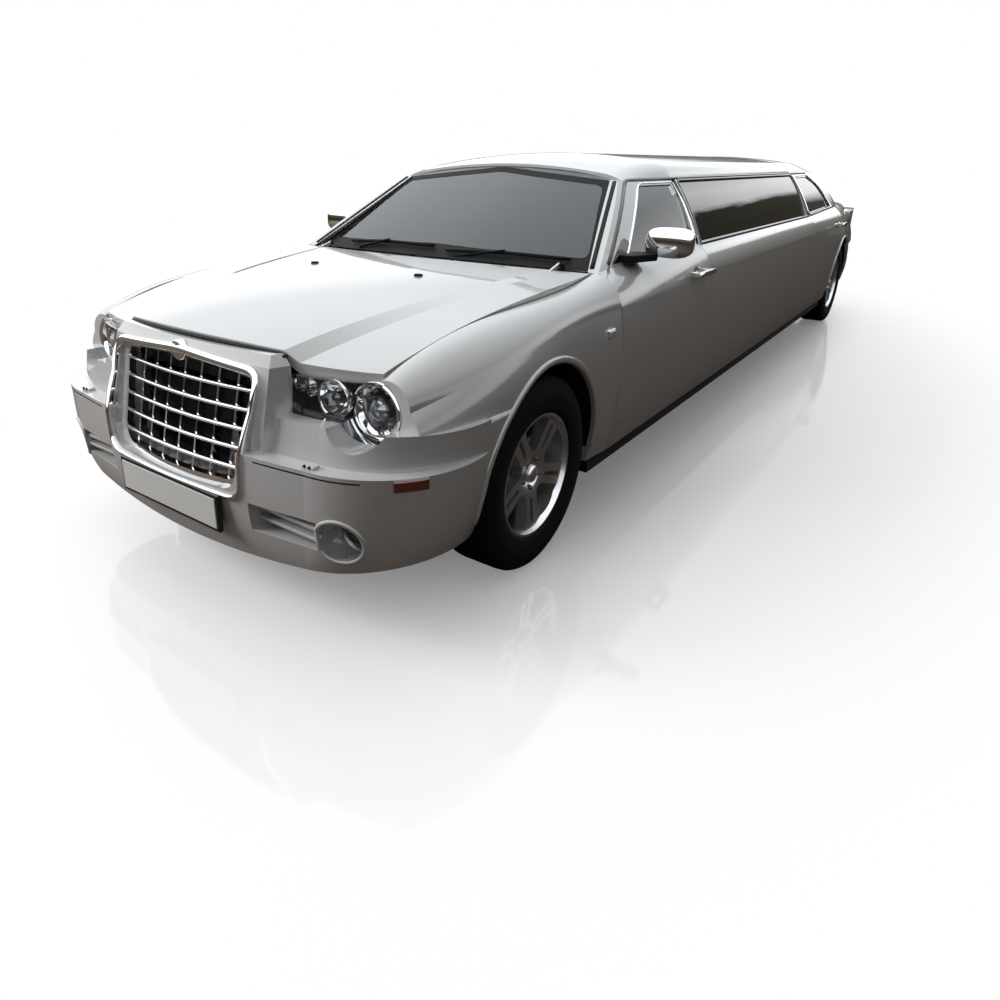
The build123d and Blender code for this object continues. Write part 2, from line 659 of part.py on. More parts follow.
def grille_slab(z0, z1, thick, back):
    """A slab across the grille between two heights that follows its bow, set back from the face."""
    wires = []
    for z in (z0, z1):
        t = (z - GRILLE_FOOT[1]) / (GRILLE_HEAD[1] - GRILLE_FOOT[1])
        y = GRILLE_FOOT[0] + (GRILLE_HEAD[0] - GRILLE_FOOT[0]) * t + back
        end = y + GRILLE_BOW
        wires.append(outline(
            at_z(z), (-GRILLE_EDGE, end), ((0, y), (GRILLE_EDGE, end)), (GRILLE_EDGE, end + thick),
            ((0, y + thick), (-GRILLE_EDGE, end + thick))))
    return Solid.make_loft(wires, ruled=True)


def grille_window(grow):
    return cross_prism(-1000, -560, *grille_outline(grow))


def grille():
    """Chrome frame with bars both ways, bowed forward in the middle."""
    shape = (grille_slab(440, 840, 26, 0) & grille_window(-SEAT)) - grille_window(-16)
    inner = grille_window(-10)
    pitch = (GRILLE_TOP - GRILLE_BOTTOM) / GRILLE_ROWS
    for i in range(1, GRILLE_ROWS):
        z = GRILLE_BOTTOM + pitch * i + GRILLE_BAR / 2
        shape += grille_slab(z - GRILLE_BAR / 2, z + GRILLE_BAR / 2, 40, 4) & inner
    for j in range(1, GRILLE_COLUMNS):
        x = (j - GRILLE_COLUMNS / 2) * POST_PITCH
        web = block(x - GRILLE_POST / 2, x + GRILLE_POST / 2, -1000, -500, 400, 900)
        shape += grille_slab(450, 830, 26, 16) & web & inner
    return shape


def mirror_head():
    """A rounded shell behind a foot that leaves the door's front corner."""
    head = fillet((Pos(945, 950, 1106) * Box(204, 96, 126)).edges(), 40)
    foot = plan_prism(1030, 1062, (800, 716), (868, 720), (912, 920), (880, 990), (800, 900))
    return head + foot


# Wheels
RIM_WIDTH = 200.0
SPOKES = 5
NUT_CIRCLE, NUT_BORE = 57.0, 11.0
STUB_RADIUS = 26.0
STUB_END = TRACK / 2 + 45.0


def ring(profile):
    """A solid turned about the axle. The profile's points are (distance from the middle plane, radius)."""
    wire = outline(lambda p: Vector(p[0], 0, p[1]), *profile)
    return Solid.revolve(Face(wire), 360, Axis((0, 0, 0), (1, 0, 0)))


def tyre():
    half, bead = TYRE_WIDTH / 2, RIM_RADIUS - 8
    r = TYRE_RADIUS
    wall = (r + bead) / 2
    return ring([
        (-half + 12, bead), ((-half, wall), (-half + 14, r - 26)), ((-half + 20, r - 8), (-half + 34, r - 2)),
        ((0, r), (half - 34, r - 2)), ((half - 20, r - 8), (half - 14, r - 26)),
        ((half, wall), (half - 12, bead)),
    ])


def rim():
    """A five-spoke alloy wheel. Each spoke is split by a slot."""
    half = RIM_WIDTH / 2
    out = RIM_RADIUS - 8.3
    barrel = ring([
        (-half, out), (half, out), (half, out - 8), (half - 22, out - 18), (-half + 20, out - 30),
        (-half, out - 14)])
    dish = ring([
        (half - 52, 34), (half - 30, 60), (half - 26, 75), (half - 14, out - 22), (half - 30, out - 14),
        (half - 60, out - 22), (half - 66, 80), (half - 84, 60), (half - 84, 34)])
    bore = STUB_RADIUS + RUNNING
    hub = ring([(8, bore), (47, bore), (47, 0), (half - 30, 0), (half - 30, 36), (8, 36)])
    shape = barrel + dish + hub
    window = side_prism(0, 140, (-24, 96), ((0, 86), (24, 96)), (86, 190), ((0, 214), (-86, 190)))
    slot = side_prism(0, 140, (-7, 98), (7, 98), (10, 196), (-10, 196))
    nut_bore = Pos(half - 26, 0, NUT_CIRCLE) * Rot(0, 90, 0) * Cylinder(NUT_BORE, 40)
    for i in range(SPOKES):
        between_spokes = Rot(360 / SPOKES * i, 0, 0)
        on_spoke = Rot(360 / SPOKES * (i + 0.5), 0, 0)
        shape -= between_spokes * window
        shape -= on_spoke * slot
        shape -= on_spoke * nut_bore
    return shape


def wheel_at(piece, side, y):
    placed = piece if side > 0 else Rot(0, 0, 180) * piece
    return Pos(side * TRACK / 2, y, TYRE_RADIUS) * placed


KINGPIN_X = 715.0
KINGPIN_RADIUS = 12.0
ARM_LOW, ARM_HIGH, ARM_THICK = 200.0, 500.0, 22.0
DISC_RADIUS = 130.0         # passes between the arms when the wheel is steered


def knuckle():
    """Front upright: a stub axle through the wheel, a brake disc, and a post that turns on the kingpin."""
    stub = tube_x(KINGPIN_X + KINGPIN_RADIUS, STUB_END, 0, TYRE_RADIUS, STUB_RADIUS)
    disc = tube_x(746, 770, 0, TYRE_RADIUS, DISC_RADIUS)
    post = rod_z(KINGPIN_X, 0, ARM_LOW + ARM_THICK + 6, ARM_HIGH - 6, 24)
    arm = block(KINGPIN_X - 14, KINGPIN_X + 14, 0, 130, 300, 326)
    pin_hole = rod_z(KINGPIN_X, 0, 0, 900, KINGPIN_RADIUS + RUNNING)
    return stub + disc + post + arm - pin_hole


def front_arms():
    """Upper and lower arm of one front wheel, joined by the kingpin."""
    low = block(440, KINGPIN_X + 24, -24, 24, ARM_LOW, ARM_LOW + ARM_THICK)
    low -= block(400, 445, -60, 60, 215, 300)
    high = block(470, KINGPIN_X + 24, -24, 24, ARM_HIGH, ARM_HIGH + ARM_THICK)
    return low + high + rod_z(KINGPIN_X, 0, ARM_LOW, ARM_HIGH + ARM_THICK, KINGPIN_RADIUS)


BOOT_FLOOR = 500.0
FIREWALL_BACK = 640.0


def floor_pan():
    """Floor, sills, rails, firewall and wheel arch liners: the frame that everything else is fixed to."""
    floor = block(-800, 800, 640, 5160, 215, 245)
    boot_floor = block(-630, 630, 5160, 6430, BOOT_FLOOR, BOOT_FLOOR + 30)
    step = block(-630, 630, 5130, 5160, 215, BOOT_FLOOR + 30)
    sills = [block(s * 850 - 36, s * 850 + 36, 440, 5150, 215, 272) for s in (-1, 1)]
    rails = [block(s * 400 - 45, s * 400 + 45, -640, 640, 215, 300) for s in (-1, 1)]
    firewall = block(-745, 745, FIREWALL_BACK - 40, FIREWALL_BACK, 215, 930)
    cross = block(-445, 445, -640, -590, 215, 330)
    shape = floor + boot_floor + step + firewall + cross
    pads = [block(s * 862 - 22, s * 862 + 22, y0, y1, 272, SILL_Z) for s in (-1, 1)
            for y0, y1 in ((450, 540), (DOOR_REAR + 20, REAR_DOOR_FRONT - 20), (5132, 5150))]
    bridge = block(-850, 850, 640, 5130, 225, 245)
    towers = [block(s * 435 - 35, s * 435 + 35, -60, 60, 290, 620) for s in (-1, 1)]
    for piece in (*sills, *rails, *towers, bridge, *pads):
        shape += piece
    return shape


def liners():
    z = TYRE_RADIUS + ARCH_LIFT
    made = []
    for y, x0 in ((0, 470), (REAR_AXLE, 630)):
        shell = tube_x(x0, 826, y, z, ARCH_RADIUS + 22) - tube_x(x0 + 12, 900, y, z, ARCH_RADIUS + 12)
        shell -= block(0, 1000, y - 600, y + 600, -200, z - 40)
        made.append(shell - block(0, 700, y - 70, y + 70, 0, z + 180))
    return made


def cowl():
    """The black panel at the windscreen's foot, with the bonnet's hinge pins."""
    shape = plan_prism(930, 992, (-745, 640), (745, 640), (745, 552), ((0, 408), (-745, 552)))
    for s in (-1, 1):
        y0, y1 = BONNET_HINGE_Y - 8, BONNET_HINGE_Y + 8
        shape += block(s * 662 - 6, s * 662 + 6, y0, y1, 980, BONNET_HINGE_Z + 7)
        shape += tube_x(s * 636, s * 662, BONNET_HINGE_Y, BONNET_HINGE_Z, PIN_RADIUS)
    return shape


def rear_deck():
    """The shelf between the rear screen's foot and the boot lid."""
    half = LID_EDGE + SHUT_GAP
    shelf = block(-half, half, 5560, BOOT_HINGE_Y - 11, 1030, 1062)
    for s in (-1, 1):
        shelf += block(s * 539 - 6, s * 539 + 6, BOOT_HINGE_Y - 30, BOOT_HINGE_Y + 5, 1040, BOOT_HINGE_Z + 5)
        shelf += tube_x(s * 515, s * 540, BOOT_HINGE_Y, BOOT_HINGE_Z, PIN_RADIUS)
    return shelf


WHEEL_X = -370.0            # the driver sits on the right
WHEEL_RAKE = -65.0


def dashboard():
    """The fascia with the steering column and wheel."""
    shape = side_prism(
        -740, 740, (700, 640), (700, 960), ((820, 1000), (960, 950)), ((1010, 880), (980, 800)), (960, 640))
    rake = Rot(WHEEL_RAKE, 0, 0)
    column = Pos(WHEEL_X, 1030, 860) * rake * Cylinder(28, 260)
    wheel = Pos(WHEEL_X, 1120, 905) * rake * (Torus(182, 15) + Cylinder(50, 40) + Box(340, 36, 18))
    return shape + column + wheel


def seat(x, y, width):
    cushion = fillet((Pos(x, y, 400) * Box(width, 540, 200)).edges(), 50)
    back = fillet((Pos(x, y + 330, 690) * Rot(-14, 0, 0) * Box(width - 30, 150, 640)).edges(), 50)
    rest = fillet((Pos(x, y + 418, 1052) * Rot(-14, 0, 0) * Box(260, 90, 170)).edges(), 36)
    plinth = block(x - 200, x + 200, y - 180, y + 200, 245, 320)
    return [plinth + cushion + back + rest]


def seats():
    """Two front seats, a long bench down the right of the saloon and the rear bench."""
    made = [*seat(-370, 1330, 520), *seat(370, 1330, 520)]
    made.append(cross_prism(
        2080, 4520, (-790, 245), (-320, 245), (-300, 420), ((-318, 462), (-360, 470)), (-640, 480),
        (-670, 900), ((-700, 950), (-740, 955)), (-790, 940)))
    rear_base = block(-660, 660, 4600, 5100, 245, 500)
    rear_back = Pos(0, 5040, 770) * Rot(-16, 0, 0) * Box(1320, 150, 560)
    made.append(fillet(rear_base.edges().filter_by(Axis.X), 40) + rear_back)
    return made


def cabinet():
    bar = block(560, 795, 2080, 3900, 245, 760)
    wall = block(-790, 790, 1960, 2000, 245, 900)
    return [fillet(bar.edges().filter_by(Axis.Y), 20), wall]


def engine():
    block_part = block(-260, 260, -330, 360, 330, 700)
    heads = [Pos(s * 190, 20, 730) * Rot(0, s * 40, 0) * Box(170, 560, 150) for s in (-1, 1)]
    gearbox = block(-170, 170, 360, 600, 330, 600)
    return block_part + heads[0] + heads[1] + gearbox


def drivetrain():
    """Rear axle with its final drive, and the long propeller shaft."""
    axle = tube_x(-TRACK / 2, TRACK / 2, REAR_AXLE, TYRE_RADIUS, 30)
    axle += tube_x(-STUB_END, STUB_END, REAR_AXLE, TYRE_RADIUS, STUB_RADIUS)
    drive = block(-130, 130, REAR_AXLE - 130, REAR_AXLE + 130, TYRE_RADIUS - 120, BOOT_FLOOR)
    discs = [tube_x(s * 746, s * 770, REAR_AXLE, TYRE_RADIUS, DISC_RADIUS) for s in (-1, 1)]
    return axle + drive + discs[0] + discs[1]


def exhaust():
    made = []
    for s in (-1, 1):
        silencer = Pos(s * 430, 6210, BOOT_FLOOR - 75) * Box(240, 420, 150)
        made.append(fillet(silencer.edges().filter_by(Axis.Y), 40))
    return made


def export(name, shape):
    solids = solids_of(shape)
    placed = [Pos(0, -Y_MID, 0) * s for s in solids]
    export_step(placed[0] if len(placed) == 1 else Compound(children=placed), f"parts/{name}.step")


def export_pair(name, shape):
    export(f"{name}_left", shape)
    export(f"{name}_right", mirrored(shape))


def main():
    os.makedirs("parts", exist_ok=True)
    door = front_door()
    export_pair("front_door", door)
    export_pair("rear_door", rear_door())
    export_pair("side_panel", side_panel())
    rear_wing = quarter()
    export_pair("quarter", rear_wing)
    export_pair("fender", fender())
    export_pair("front_door_glass", pane(("a_post", "b_post"), FRONT_WINDOW))
    export_pair("rear_door_glass", pane(("stretch_end", "c_post"), REAR_WINDOW))
    long_pane = pane(("b_post", "stretch_end"), LONG_WINDOW)
    export("side_glass", [long_pane, mirrored(long_pane)])
    export_pair("mirror", mirror_head() - door)
    export("bonnet", bonnet())
    export("boot_lid", boot_lid())
    pillars = a_post()
    canopy = roof() + pillars + mirrored(pillars)
    export("roof", canopy)
    export("windscreen", windscreen() - canopy)
    export("backlight", backlight() - rear_wing - mirrored(rear_wing) - canopy)
    export("front_bumper", front_bumper())
    export("rear_bumper", rear_bumper())
    export("grille", grille())
    lamp = headlamp()
    export("headlamps", [lamp, mirrored(lamp)])
    rear_lamp = tail_lamp()
    export("tail_lamps", [rear_lamp, mirrored(rear_lamp)])
    rubber, alloy = tyre(), rim()
    for end, y in (("front", 0.0), ("rear", REAR_AXLE)):
        for side_name, side in (("left", 1), ("right", -1)):
            export(f"tyre_{end}_{side_name}", wheel_at(rubber, side, y))
            export(f"rim_{end}_{side_name}", wheel_at(alloy, side, y))
    export_pair("knuckle", knuckle())
    arms = front_arms()
    export("front_arms", [arms, mirrored(arms)])
    export("floor_pan", floor_pan())
    arches = liners()
    export("arch_liners", [*arches, *[mirrored(a) for a in arches]])
    export("rear_deck", rear_deck() - rear_wing - mirrored(rear_wing) - backlight())
    export("cowl", cowl())
    export("dashboard", dashboard())
    export("seats", seats())
    export("cabinet", cabinet())
    export("engine", engine())
    export("rear_axle", drivetrain())
    export("exhaust", exhaust())


if __name__ == "__main__":
    main()
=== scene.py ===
import json
from math import ceil, copysign, cos, exp, pi, radians, sin, sqrt

import bmesh
import bpy
from mathutils import Matrix, Vector
from mathutils.bvhtree import BVHTree


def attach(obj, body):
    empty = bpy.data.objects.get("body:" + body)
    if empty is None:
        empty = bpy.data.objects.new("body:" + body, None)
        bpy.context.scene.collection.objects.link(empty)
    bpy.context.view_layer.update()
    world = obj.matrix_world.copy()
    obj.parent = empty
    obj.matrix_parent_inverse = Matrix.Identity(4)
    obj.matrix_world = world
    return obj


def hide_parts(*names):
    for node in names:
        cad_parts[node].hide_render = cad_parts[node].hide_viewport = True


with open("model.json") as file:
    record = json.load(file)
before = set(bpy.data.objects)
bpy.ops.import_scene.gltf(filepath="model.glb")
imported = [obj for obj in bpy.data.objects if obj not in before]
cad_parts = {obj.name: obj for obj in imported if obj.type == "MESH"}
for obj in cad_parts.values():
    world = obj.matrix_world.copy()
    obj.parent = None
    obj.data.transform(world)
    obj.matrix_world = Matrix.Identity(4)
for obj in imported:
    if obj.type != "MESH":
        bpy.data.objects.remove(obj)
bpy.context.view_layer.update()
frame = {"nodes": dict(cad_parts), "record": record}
nodes = frame["nodes"]

# The car faces -Y and its left side is +X. Metres.
MID = 2.8725                # distance from the front axle to the middle of the car
WHEELBASE = 5.588
FRONT_AXLE, REAR_AXLE = -MID, WHEELBASE - MID
HUB_Z, TYRE_R, TRACK = 0.3635, 0.3635, 1.6
SIDES = (("left", 1), ("right", -1))


def y_of(back):
    """Row y of a distance behind the front axle."""
    return back - MID


# Materials

DUST = (0.23, 0.19, 0.15)
WHITE = (1.0, 1.0, 1.0, 1.0)


def new_group(name, inputs, outputs):
    """An empty node group, with its input and output nodes."""
    group = bpy.data.node_groups.new(name, "ShaderNodeTree")
    for label, value in inputs:
        socket = group.interface.new_socket(label, in_out="INPUT", socket_type="NodeSocketFloat")
        socket.default_value = value
    for label, kind in outputs:
        group.interface.new_socket(label, in_out="OUTPUT", socket_type=kind)
    return group, group.nodes.new("NodeGroupInput"), group.nodes.new("NodeGroupOutput")


def feed(tree, value, socket):
    """Link a socket or a node's first output to an input. Any other value is a constant."""
    if isinstance(value, bpy.types.Node):
        value = value.outputs[0]
    if isinstance(value, bpy.types.NodeSocket):
        tree.links.new(value, socket)
    else:
        socket.default_value = value


def put(tree, kind, settings=None, **inputs):
    """A shader node with its inputs fed, by name or, as _0, _1 and so on, by place."""
    node = tree.nodes.new("ShaderNode" + kind)
    for key, value in (settings or {}).items():
        setattr(node, key, value)
    for key, value in inputs.items():
        feed(tree, value, node.inputs[int(key[1:]) if key[0] == "_" else key.replace("_", " ")])
    return node


def math_node(tree, operation, a, b):
    return put(tree, "Math", {"operation": operation}, _0=a, _1=b).outputs[0]


def axis_of(tree, where, axis):
    """One axis of a vector, such as a place."""
    return put(tree, "SeparateXYZ", Vector=where).outputs[axis]


def object_place(tree):
    return put(tree, "TexCoord").outputs["Object"]


def make_grain():
    """Fine bumps and a slow change of tone, in object space."""
    group, start, end = new_group("grain", [("Scale", 200.0), ("Height", 0.1)],
                                  [("Tone", "NodeSocketFloat"), ("Normal", "NodeSocketVector")])
    where = object_place(group)
    fine = put(group, "TexNoise", Vector=where, Scale=start.outputs["Scale"], Detail=4.0)
    slow = put(group, "TexNoise", Vector=where, Scale=2.3, Detail=3.0)
    bump = put(group, "Bump", Strength=start.outputs["Height"], Distance=0.002, Height=fine)
    group.links.new(slow.outputs[0], end.inputs["Tone"])
    group.links.new(bump.outputs[0], end.inputs["Normal"])
    return group


def make_road_film():
    """How much road dust lies on a place: more near the ground, broken up by noise."""
    group, start, end = new_group("road_film", [("Top", 0.9)], [("Mask", "NodeSocketFloat")])
    where = put(group, "NewGeometry").outputs["Position"]
    fall = put(group, "MapRange", Value=axis_of(group, where, "Z"),
               _1=0.15, _2=start.outputs["Top"], _3=1.0, _4=0.0)
    noise = put(group, "TexNoise", Vector=where, Scale=7.0, Detail=6.0, Roughness=0.65)
    mask = math_node(group, "MULTIPLY", fall, noise)
    group.links.new(mask, end.inputs["Mask"])
    return group


GRAIN, ROAD_FILM = make_grain(), make_road_film()


def grain(tree, scale, height):
    return put(tree, "Group", {"node_tree": GRAIN}, Scale=scale, Height=height)


def blend(tree, mask, a, b):
    """Two colours mixed by a mask."""
    node = put(tree, "Mix", {"data_type": "RGBA"}, _0=mask)
    for place, value in ((6, a), (7, b)):
        feed(tree, (*value, 1.0) if isinstance(value, tuple) else value, node.inputs[place])
    return node.outputs[2]


def dusted(tree, colour, top, amount):
    """A colour under road dust that reaches up to a height."""
    film = put(tree, "Group", {"node_tree": ROAD_FILM}, Top=top).outputs["Mask"]
    return blend(tree, math_node(tree, "MULTIPLY", film, amount), colour, DUST)


def begin(name):
    mat = bpy.data.materials.new(name)
    mat.use_nodes = True
    mat.node_tree.nodes.clear()
    return mat, mat.node_tree


def close(tree, shader):
    put(tree, "OutputMaterial", Surface=shader)


def surface(name, low, high, rough, scale, height, metal=0.0, coat=0.0, dust=0.0, dust_top=0.9, **extra):
    """A solid finish: two tones, fine grain, and road dust near the ground."""
    mat, tree = begin(name)
    g = grain(tree, scale, height)
    colour = blend(tree, g.outputs["Tone"], low, high)
    if dust:
        colour = dusted(tree, colour, dust_top, dust)
    shader = put(tree, "BsdfPrincipled", Base_Color=colour, Metallic=metal, Roughness=rough,
                 Normal=g.outputs["Normal"], Coat_Weight=coat, Coat_Roughness=0.03, **extra)
    close(tree, shader)
    return mat


def glazing(name, tint):
    """A pane: a tinted view through it, and a reflection that grows towards its edge."""
    mat, tree = begin(name)
    g = grain(tree, 3.0, 0.0)
    colour = blend(tree, g.outputs["Tone"], tint, tuple(c * 0.86 for c in tint))
    through = put(tree, "BsdfTransparent", Color=colour)
    shine = put(tree, "BsdfGlossy", Color=WHITE, Roughness=0.02)
    edge = put(tree, "Fresnel", IOR=1.5)
    mix = put(tree, "MixShader", Fac=edge, _1=through, _2=shine)
    close(tree, mix)
    return mat


# name, two tones, roughness, scale and height of the grain
PAINT = surface("pearl_paint", (0.56,) * 3, (0.61, 0.61, 0.605), 0.3, 1400.0, 0.03, coat=1.0, dust=0.22,
                dust_top=0.75)
BLACK = surface("black_plastic", (0.006, 0.006, 0.0065), (0.011, 0.011, 0.0115), 0.55, 500.0, 0.2, dust=0.02,
                Specular_IOR_Level=0.1)
GLOSS = surface("gloss_black", (0.008, 0.008, 0.009), (0.014, 0.014, 0.015), 0.12, 40.0, 0.01)
CHROME = surface("chrome", (0.8, 0.8, 0.81), (0.88, 0.88, 0.89), 0.06, 30.0, 0.01, metal=1.0)
ALLOY = surface("alloy", (0.5, 0.5, 0.51), (0.58, 0.58, 0.6), 0.3, 1500.0, 0.04, metal=0.9, coat=0.5,
                dust=0.25, dust_top=1.2)
RUBBER = surface("tyre_rubber", (0.01,) * 3, (0.018,) * 3, 0.62, 400.0, 0.25, dust=0.12,
                 dust_top=0.8)
STEEL = surface("machined_steel", (0.22, 0.21, 0.2), (0.34, 0.33, 0.32), 0.42, 300.0, 0.15, metal=0.9, dust=0.4)
IRON = surface("cast_iron", (0.05, 0.05, 0.052), (0.1,) * 3, 0.6, 160.0, 0.4, metal=0.6)
LEATHER = surface("leather", (0.05, 0.044, 0.04), (0.075, 0.066, 0.06), 0.45, 260.0, 0.35)
VENEER = surface("veneer", (0.1, 0.04, 0.016), (0.22, 0.1, 0.045), 0.25, 60.0, 0.05, coat=0.8)
RED_LENS = surface("red_lens", (0.26, 0.008, 0.008), (0.36, 0.015, 0.012), 0.12, 90.0, 0.05, coat=1.0)
MARKER = surface("marker_lens", (0.16, 0.014, 0.008), (0.22, 0.022, 0.012), 0.14, 90.0, 0.05, coat=1.0)
PLATE = surface("blank_plate", (0.7, 0.7, 0.68), (0.78, 0.78, 0.76), 0.4, 700.0, 0.04)
HOUSING = surface("lamp_housing", (0.2, 0.2, 0.21), (0.3, 0.3, 0.31), 0.25, 60.0, 0.02, metal=0.8)
BULB = surface("bulb_glass", (0.7, 0.74, 0.78), (0.8, 0.83, 0.86), 0.04, 40.0, 0.01, metal=0.3, coat=1.0)
FABRIC = surface("headlining_cloth", (0.3, 0.28, 0.25), (0.36, 0.34, 0.31), 0.9, 900.0, 0.5)
FELT = surface("lining_felt", (0.012,) * 3, (0.022,) * 3, 0.95, 700.0, 0.5)
CLEAR = glazing("clear_glass", (0.8, 0.86, 0.83))
DARK = glazing("dark_glass", (0.045, 0.047, 0.05))
LENS = glazing("lamp_lens", (0.96, 0.97, 0.98))


def tread_finish():
    """Near-black tyre rubber with slanting cuts."""
    mat, tree = begin("tyre_tread")
    g = grain(tree, 400.0, 0.2)
    colour = blend(tree, g.outputs["Tone"], (0.0018,) * 3, (0.0034,) * 3)
    colour = dusted(tree, colour, 0.8, 0.015)
    slots = put(tree, "TexWave", {"wave_type": "BANDS", "bands_direction": "DIAGONAL"},
                Vector=object_place(tree), Scale=22.0, Distortion=0.0)
    high = math_node(tree, "GREATER_THAN", slots.outputs["Fac"], 0.12)
    bump = put(tree, "Bump", Strength=0.25, Distance=0.002, Height=high, Normal=g.outputs["Normal"])
    shader = put(tree, "BsdfPrincipled", Base_Color=colour, Roughness=0.75, Normal=bump,
                 Specular_IOR_Level=0.06)
    close(tree, shader)
    return mat


TREAD = tread_finish()

FINISH = {
    "pearl_paint": PAINT, "black_plastic": BLACK, "dark_glass": DARK, "clear_glass": CLEAR, "lamp_lens": LENS,
    "red_lens": RED_LENS, "chrome": CHROME, "alloy": ALLOY, "rubber_tread": RUBBER, "steel": STEEL, "iron": IRON,
    "black_leather": LEATHER, "veneer": VENEER,
}


def varied(source, name, kind, slot):
    """A copy of a finish, with the socket to recolour and the colour that feeds it."""
    mat = source.copy()
    mat.name = name
    socket = next(n for n in mat.node_tree.nodes if n.type == kind).inputs[slot]
    return mat, mat.node_tree, socket, socket.links[0].from_socket


def bonnet_finish():
    """The body's paint, black on the hinge ears behind the bonnet's rear edge."""
    mat, tree, socket, colour = varied(PAINT, "bonnet_paint", "BSDF_PRINCIPLED", "Base Color")
    mask = math_node(tree, "GREATER_THAN", axis_of(tree, object_place(tree), "Y"), y_of(0.5405))
    tree.links.new(blend(tree, mask, colour, (0.01,) * 3), socket)
    return mat


def windscreen_finish():
    """Clear glass with a blue-grey band that fades in along its top."""
    mat, tree, socket, colour = varied(CLEAR, "windscreen_glass", "BSDF_TRANSPARENT", "Color")
    mask = put(tree, "MapRange", Value=axis_of(tree, object_place(tree), "Z"),
               _1=1.305, _2=1.355, _3=0.0, _4=0.8)
    tree.links.new(blend(tree, mask, colour, (0.1, 0.17, 0.22)), socket)
    return mat


for part in frame["record"]["subparts"]:
    node = nodes[part["node"]]
    node.data.materials.clear()
    node.data.materials.append(FINISH[part["material_slot"]])
nodes["bonnet"].data.materials[0] = bonnet_finish()
nodes["windscreen"].data.materials[0] = windscreen_finish()


# Shapes

def link(obj):
    bpy.context.scene.collection.objects.link(obj)
    return obj


def piece(name, verts, faces, mat, body="body", smooth=True):
    """A mesh that rides on a body of the car."""
    mesh = bpy.data.meshes.new(name)
    mesh.from_pydata([tuple(v) for v in verts], [], faces)
    for poly in mesh.polygons:
        poly.use_smooth = smooth
    mesh.materials.append(mat)
    obj = link(bpy.data.objects.new(name, mesh))
    fix = bmesh.new()
    fix.from_mesh(mesh)
    bmesh.ops.recalc_face_normals(fix, faces=fix.faces)
    fix.to_mesh(mesh)
    fix.free()
    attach(obj, body)
    return obj


def oval(a, b, count):
    """Points round an oval of two half widths."""
    turns = [2 * pi * k / count for k in range(count)]
    return [(a * cos(t), b * sin(t)) for t in turns]


def arc(a, b, steps=6):
    """Points over half an oval."""
    turns = [pi * k / steps for k in range(steps + 1)]
    return [(cos(t) * a, sin(t) * b) for t in turns]


def quads(rows, columns, base=0):
    """The faces of a grid of vertices that were made row by row."""
    corners = [base + columns * i + k for i in range(rows - 1) for k in range(columns - 1)]
    return [(a, a + 1, a + columns + 1, a + columns) for a in corners]


def rings(n, m, closed=False):
    """The faces between n rings of m vertices."""
    faces = []
    for i in range(n if closed else n - 1):
        j = (i + 1) % n
        faces += [(i * m + k, i * m + (k + 1) % m, j * m + (k + 1) % m, j * m + k) for k in range(m)]
    return faces


def tube(n, m):
    """The faces of n rings of m vertices, with both ends closed."""
    return rings(n, m) + [tuple(range(m)), tuple(reversed(range((n - 1) * m, n * m)))]


def soften(obj, width, angle=35.0):
    """Rounded edges with clean shading."""
    mod = obj.modifiers.new("bevel", "BEVEL")
    mod.width, mod.segments, mod.limit_method, mod.angle_limit = width, 2, "ANGLE", radians(angle)
    mod.harden_normals = True
    return obj


def slab(name, low, high, mat, body="body", edge=0.004):
    """A box between two corners, with rounded edges."""
    ends = list(zip(low, high))
    verts = [(x, y, z) for x in ends[0] for y in ends[1] for z in ends[2]]
    faces = [(0, 1, 3, 2), (4, 6, 7, 5), (0, 4, 5, 1), (2, 3, 7, 6), (0, 2, 6, 4), (1, 5, 7, 3)]
    obj = piece(name, verts, faces, mat, body)
    return soften(obj, edge, 30.0) if edge else obj


def block(name, x, y, z, mat, body="body", edge=0.004):
    """A box by its middle and half width in x, distances behind the front axle, and heights."""
    return slab(name, (x[0] - x[1], y_of(y[0]), z[0]), (x[0] + x[1], y_of(y[1]), z[1]), mat, body, edge)


def stud(name, spot, half, rise, mat, body="body", edge=0.004):
    """A box round a spot on the skin: half sizes in x and y, and its lower and upper ends."""
    low, high = Vector((-half[0], -half[1], rise[0])), Vector((half[0], half[1], rise[1]))
    return slab(name, spot + low, spot + high, mat, body, edge)


def turned(name, profile, centre, mat, axis=(0, 1, 0), body="body", steps=48, closed=False):
    """A surface turned about an axis. The profile's points are (along the axis, radius)."""
    axis = Vector(axis).normalized()
    up = axis.orthogonal().normalized()
    side = axis.cross(up)
    centre = Vector(centre)
    verts = []
    for a, b in oval(1.0, 1.0, steps):
        verts += [centre + axis * d + (up * a + side * b) * r for d, r in profile]
    faces = [f for f in rings(steps, len(profile), True) if closed or f[1] > f[0]]
    return piece(name, verts, faces, mat, body)


def sweep(path, section, closed=False):
    """The mesh of a section of (across, out) carried along a path of (point, normal)."""
    verts, n = [], len(path)
    for i, (p, normal) in enumerate(path):
        before = path[i - 1][0] if closed or i else p
        after = path[(i + 1) % n][0] if closed or i < n - 1 else p
        across = (after - before).normalized().cross(normal).normalized()
        verts += [p + across * a + normal * b for a, b in section]
    return verts, rings(n, len(section), True) if closed else tube(n, len(section))


def ribbon(name, path, width, height, mat, body="body", closed=False):
    """A moulding that lies on a surface: flat below, rounded above."""
    section = arc(width / 2, height) + [(-width / 2, -0.002), (width / 2, -0.002)]
    return piece(name, *sweep(path, section, closed), mat, body)


def rod(name, points, radius, mat):
    """A round bar along a line of points."""
    points = [Vector(p) for p in points]
    path = []
    for i, p in enumerate(points):
        along = (points[min(i + 1, len(points) - 1)] - points[max(i - 1, 0)]).normalized()
        lead = Vector((0, 0, 1)) if abs(along.z) < 0.9 else Vector((0, 1, 0))
        path.append((p, (lead - along * lead.dot(along)).normalized()))
    return piece(name, *sweep(path, oval(radius, radius, 10)), mat)


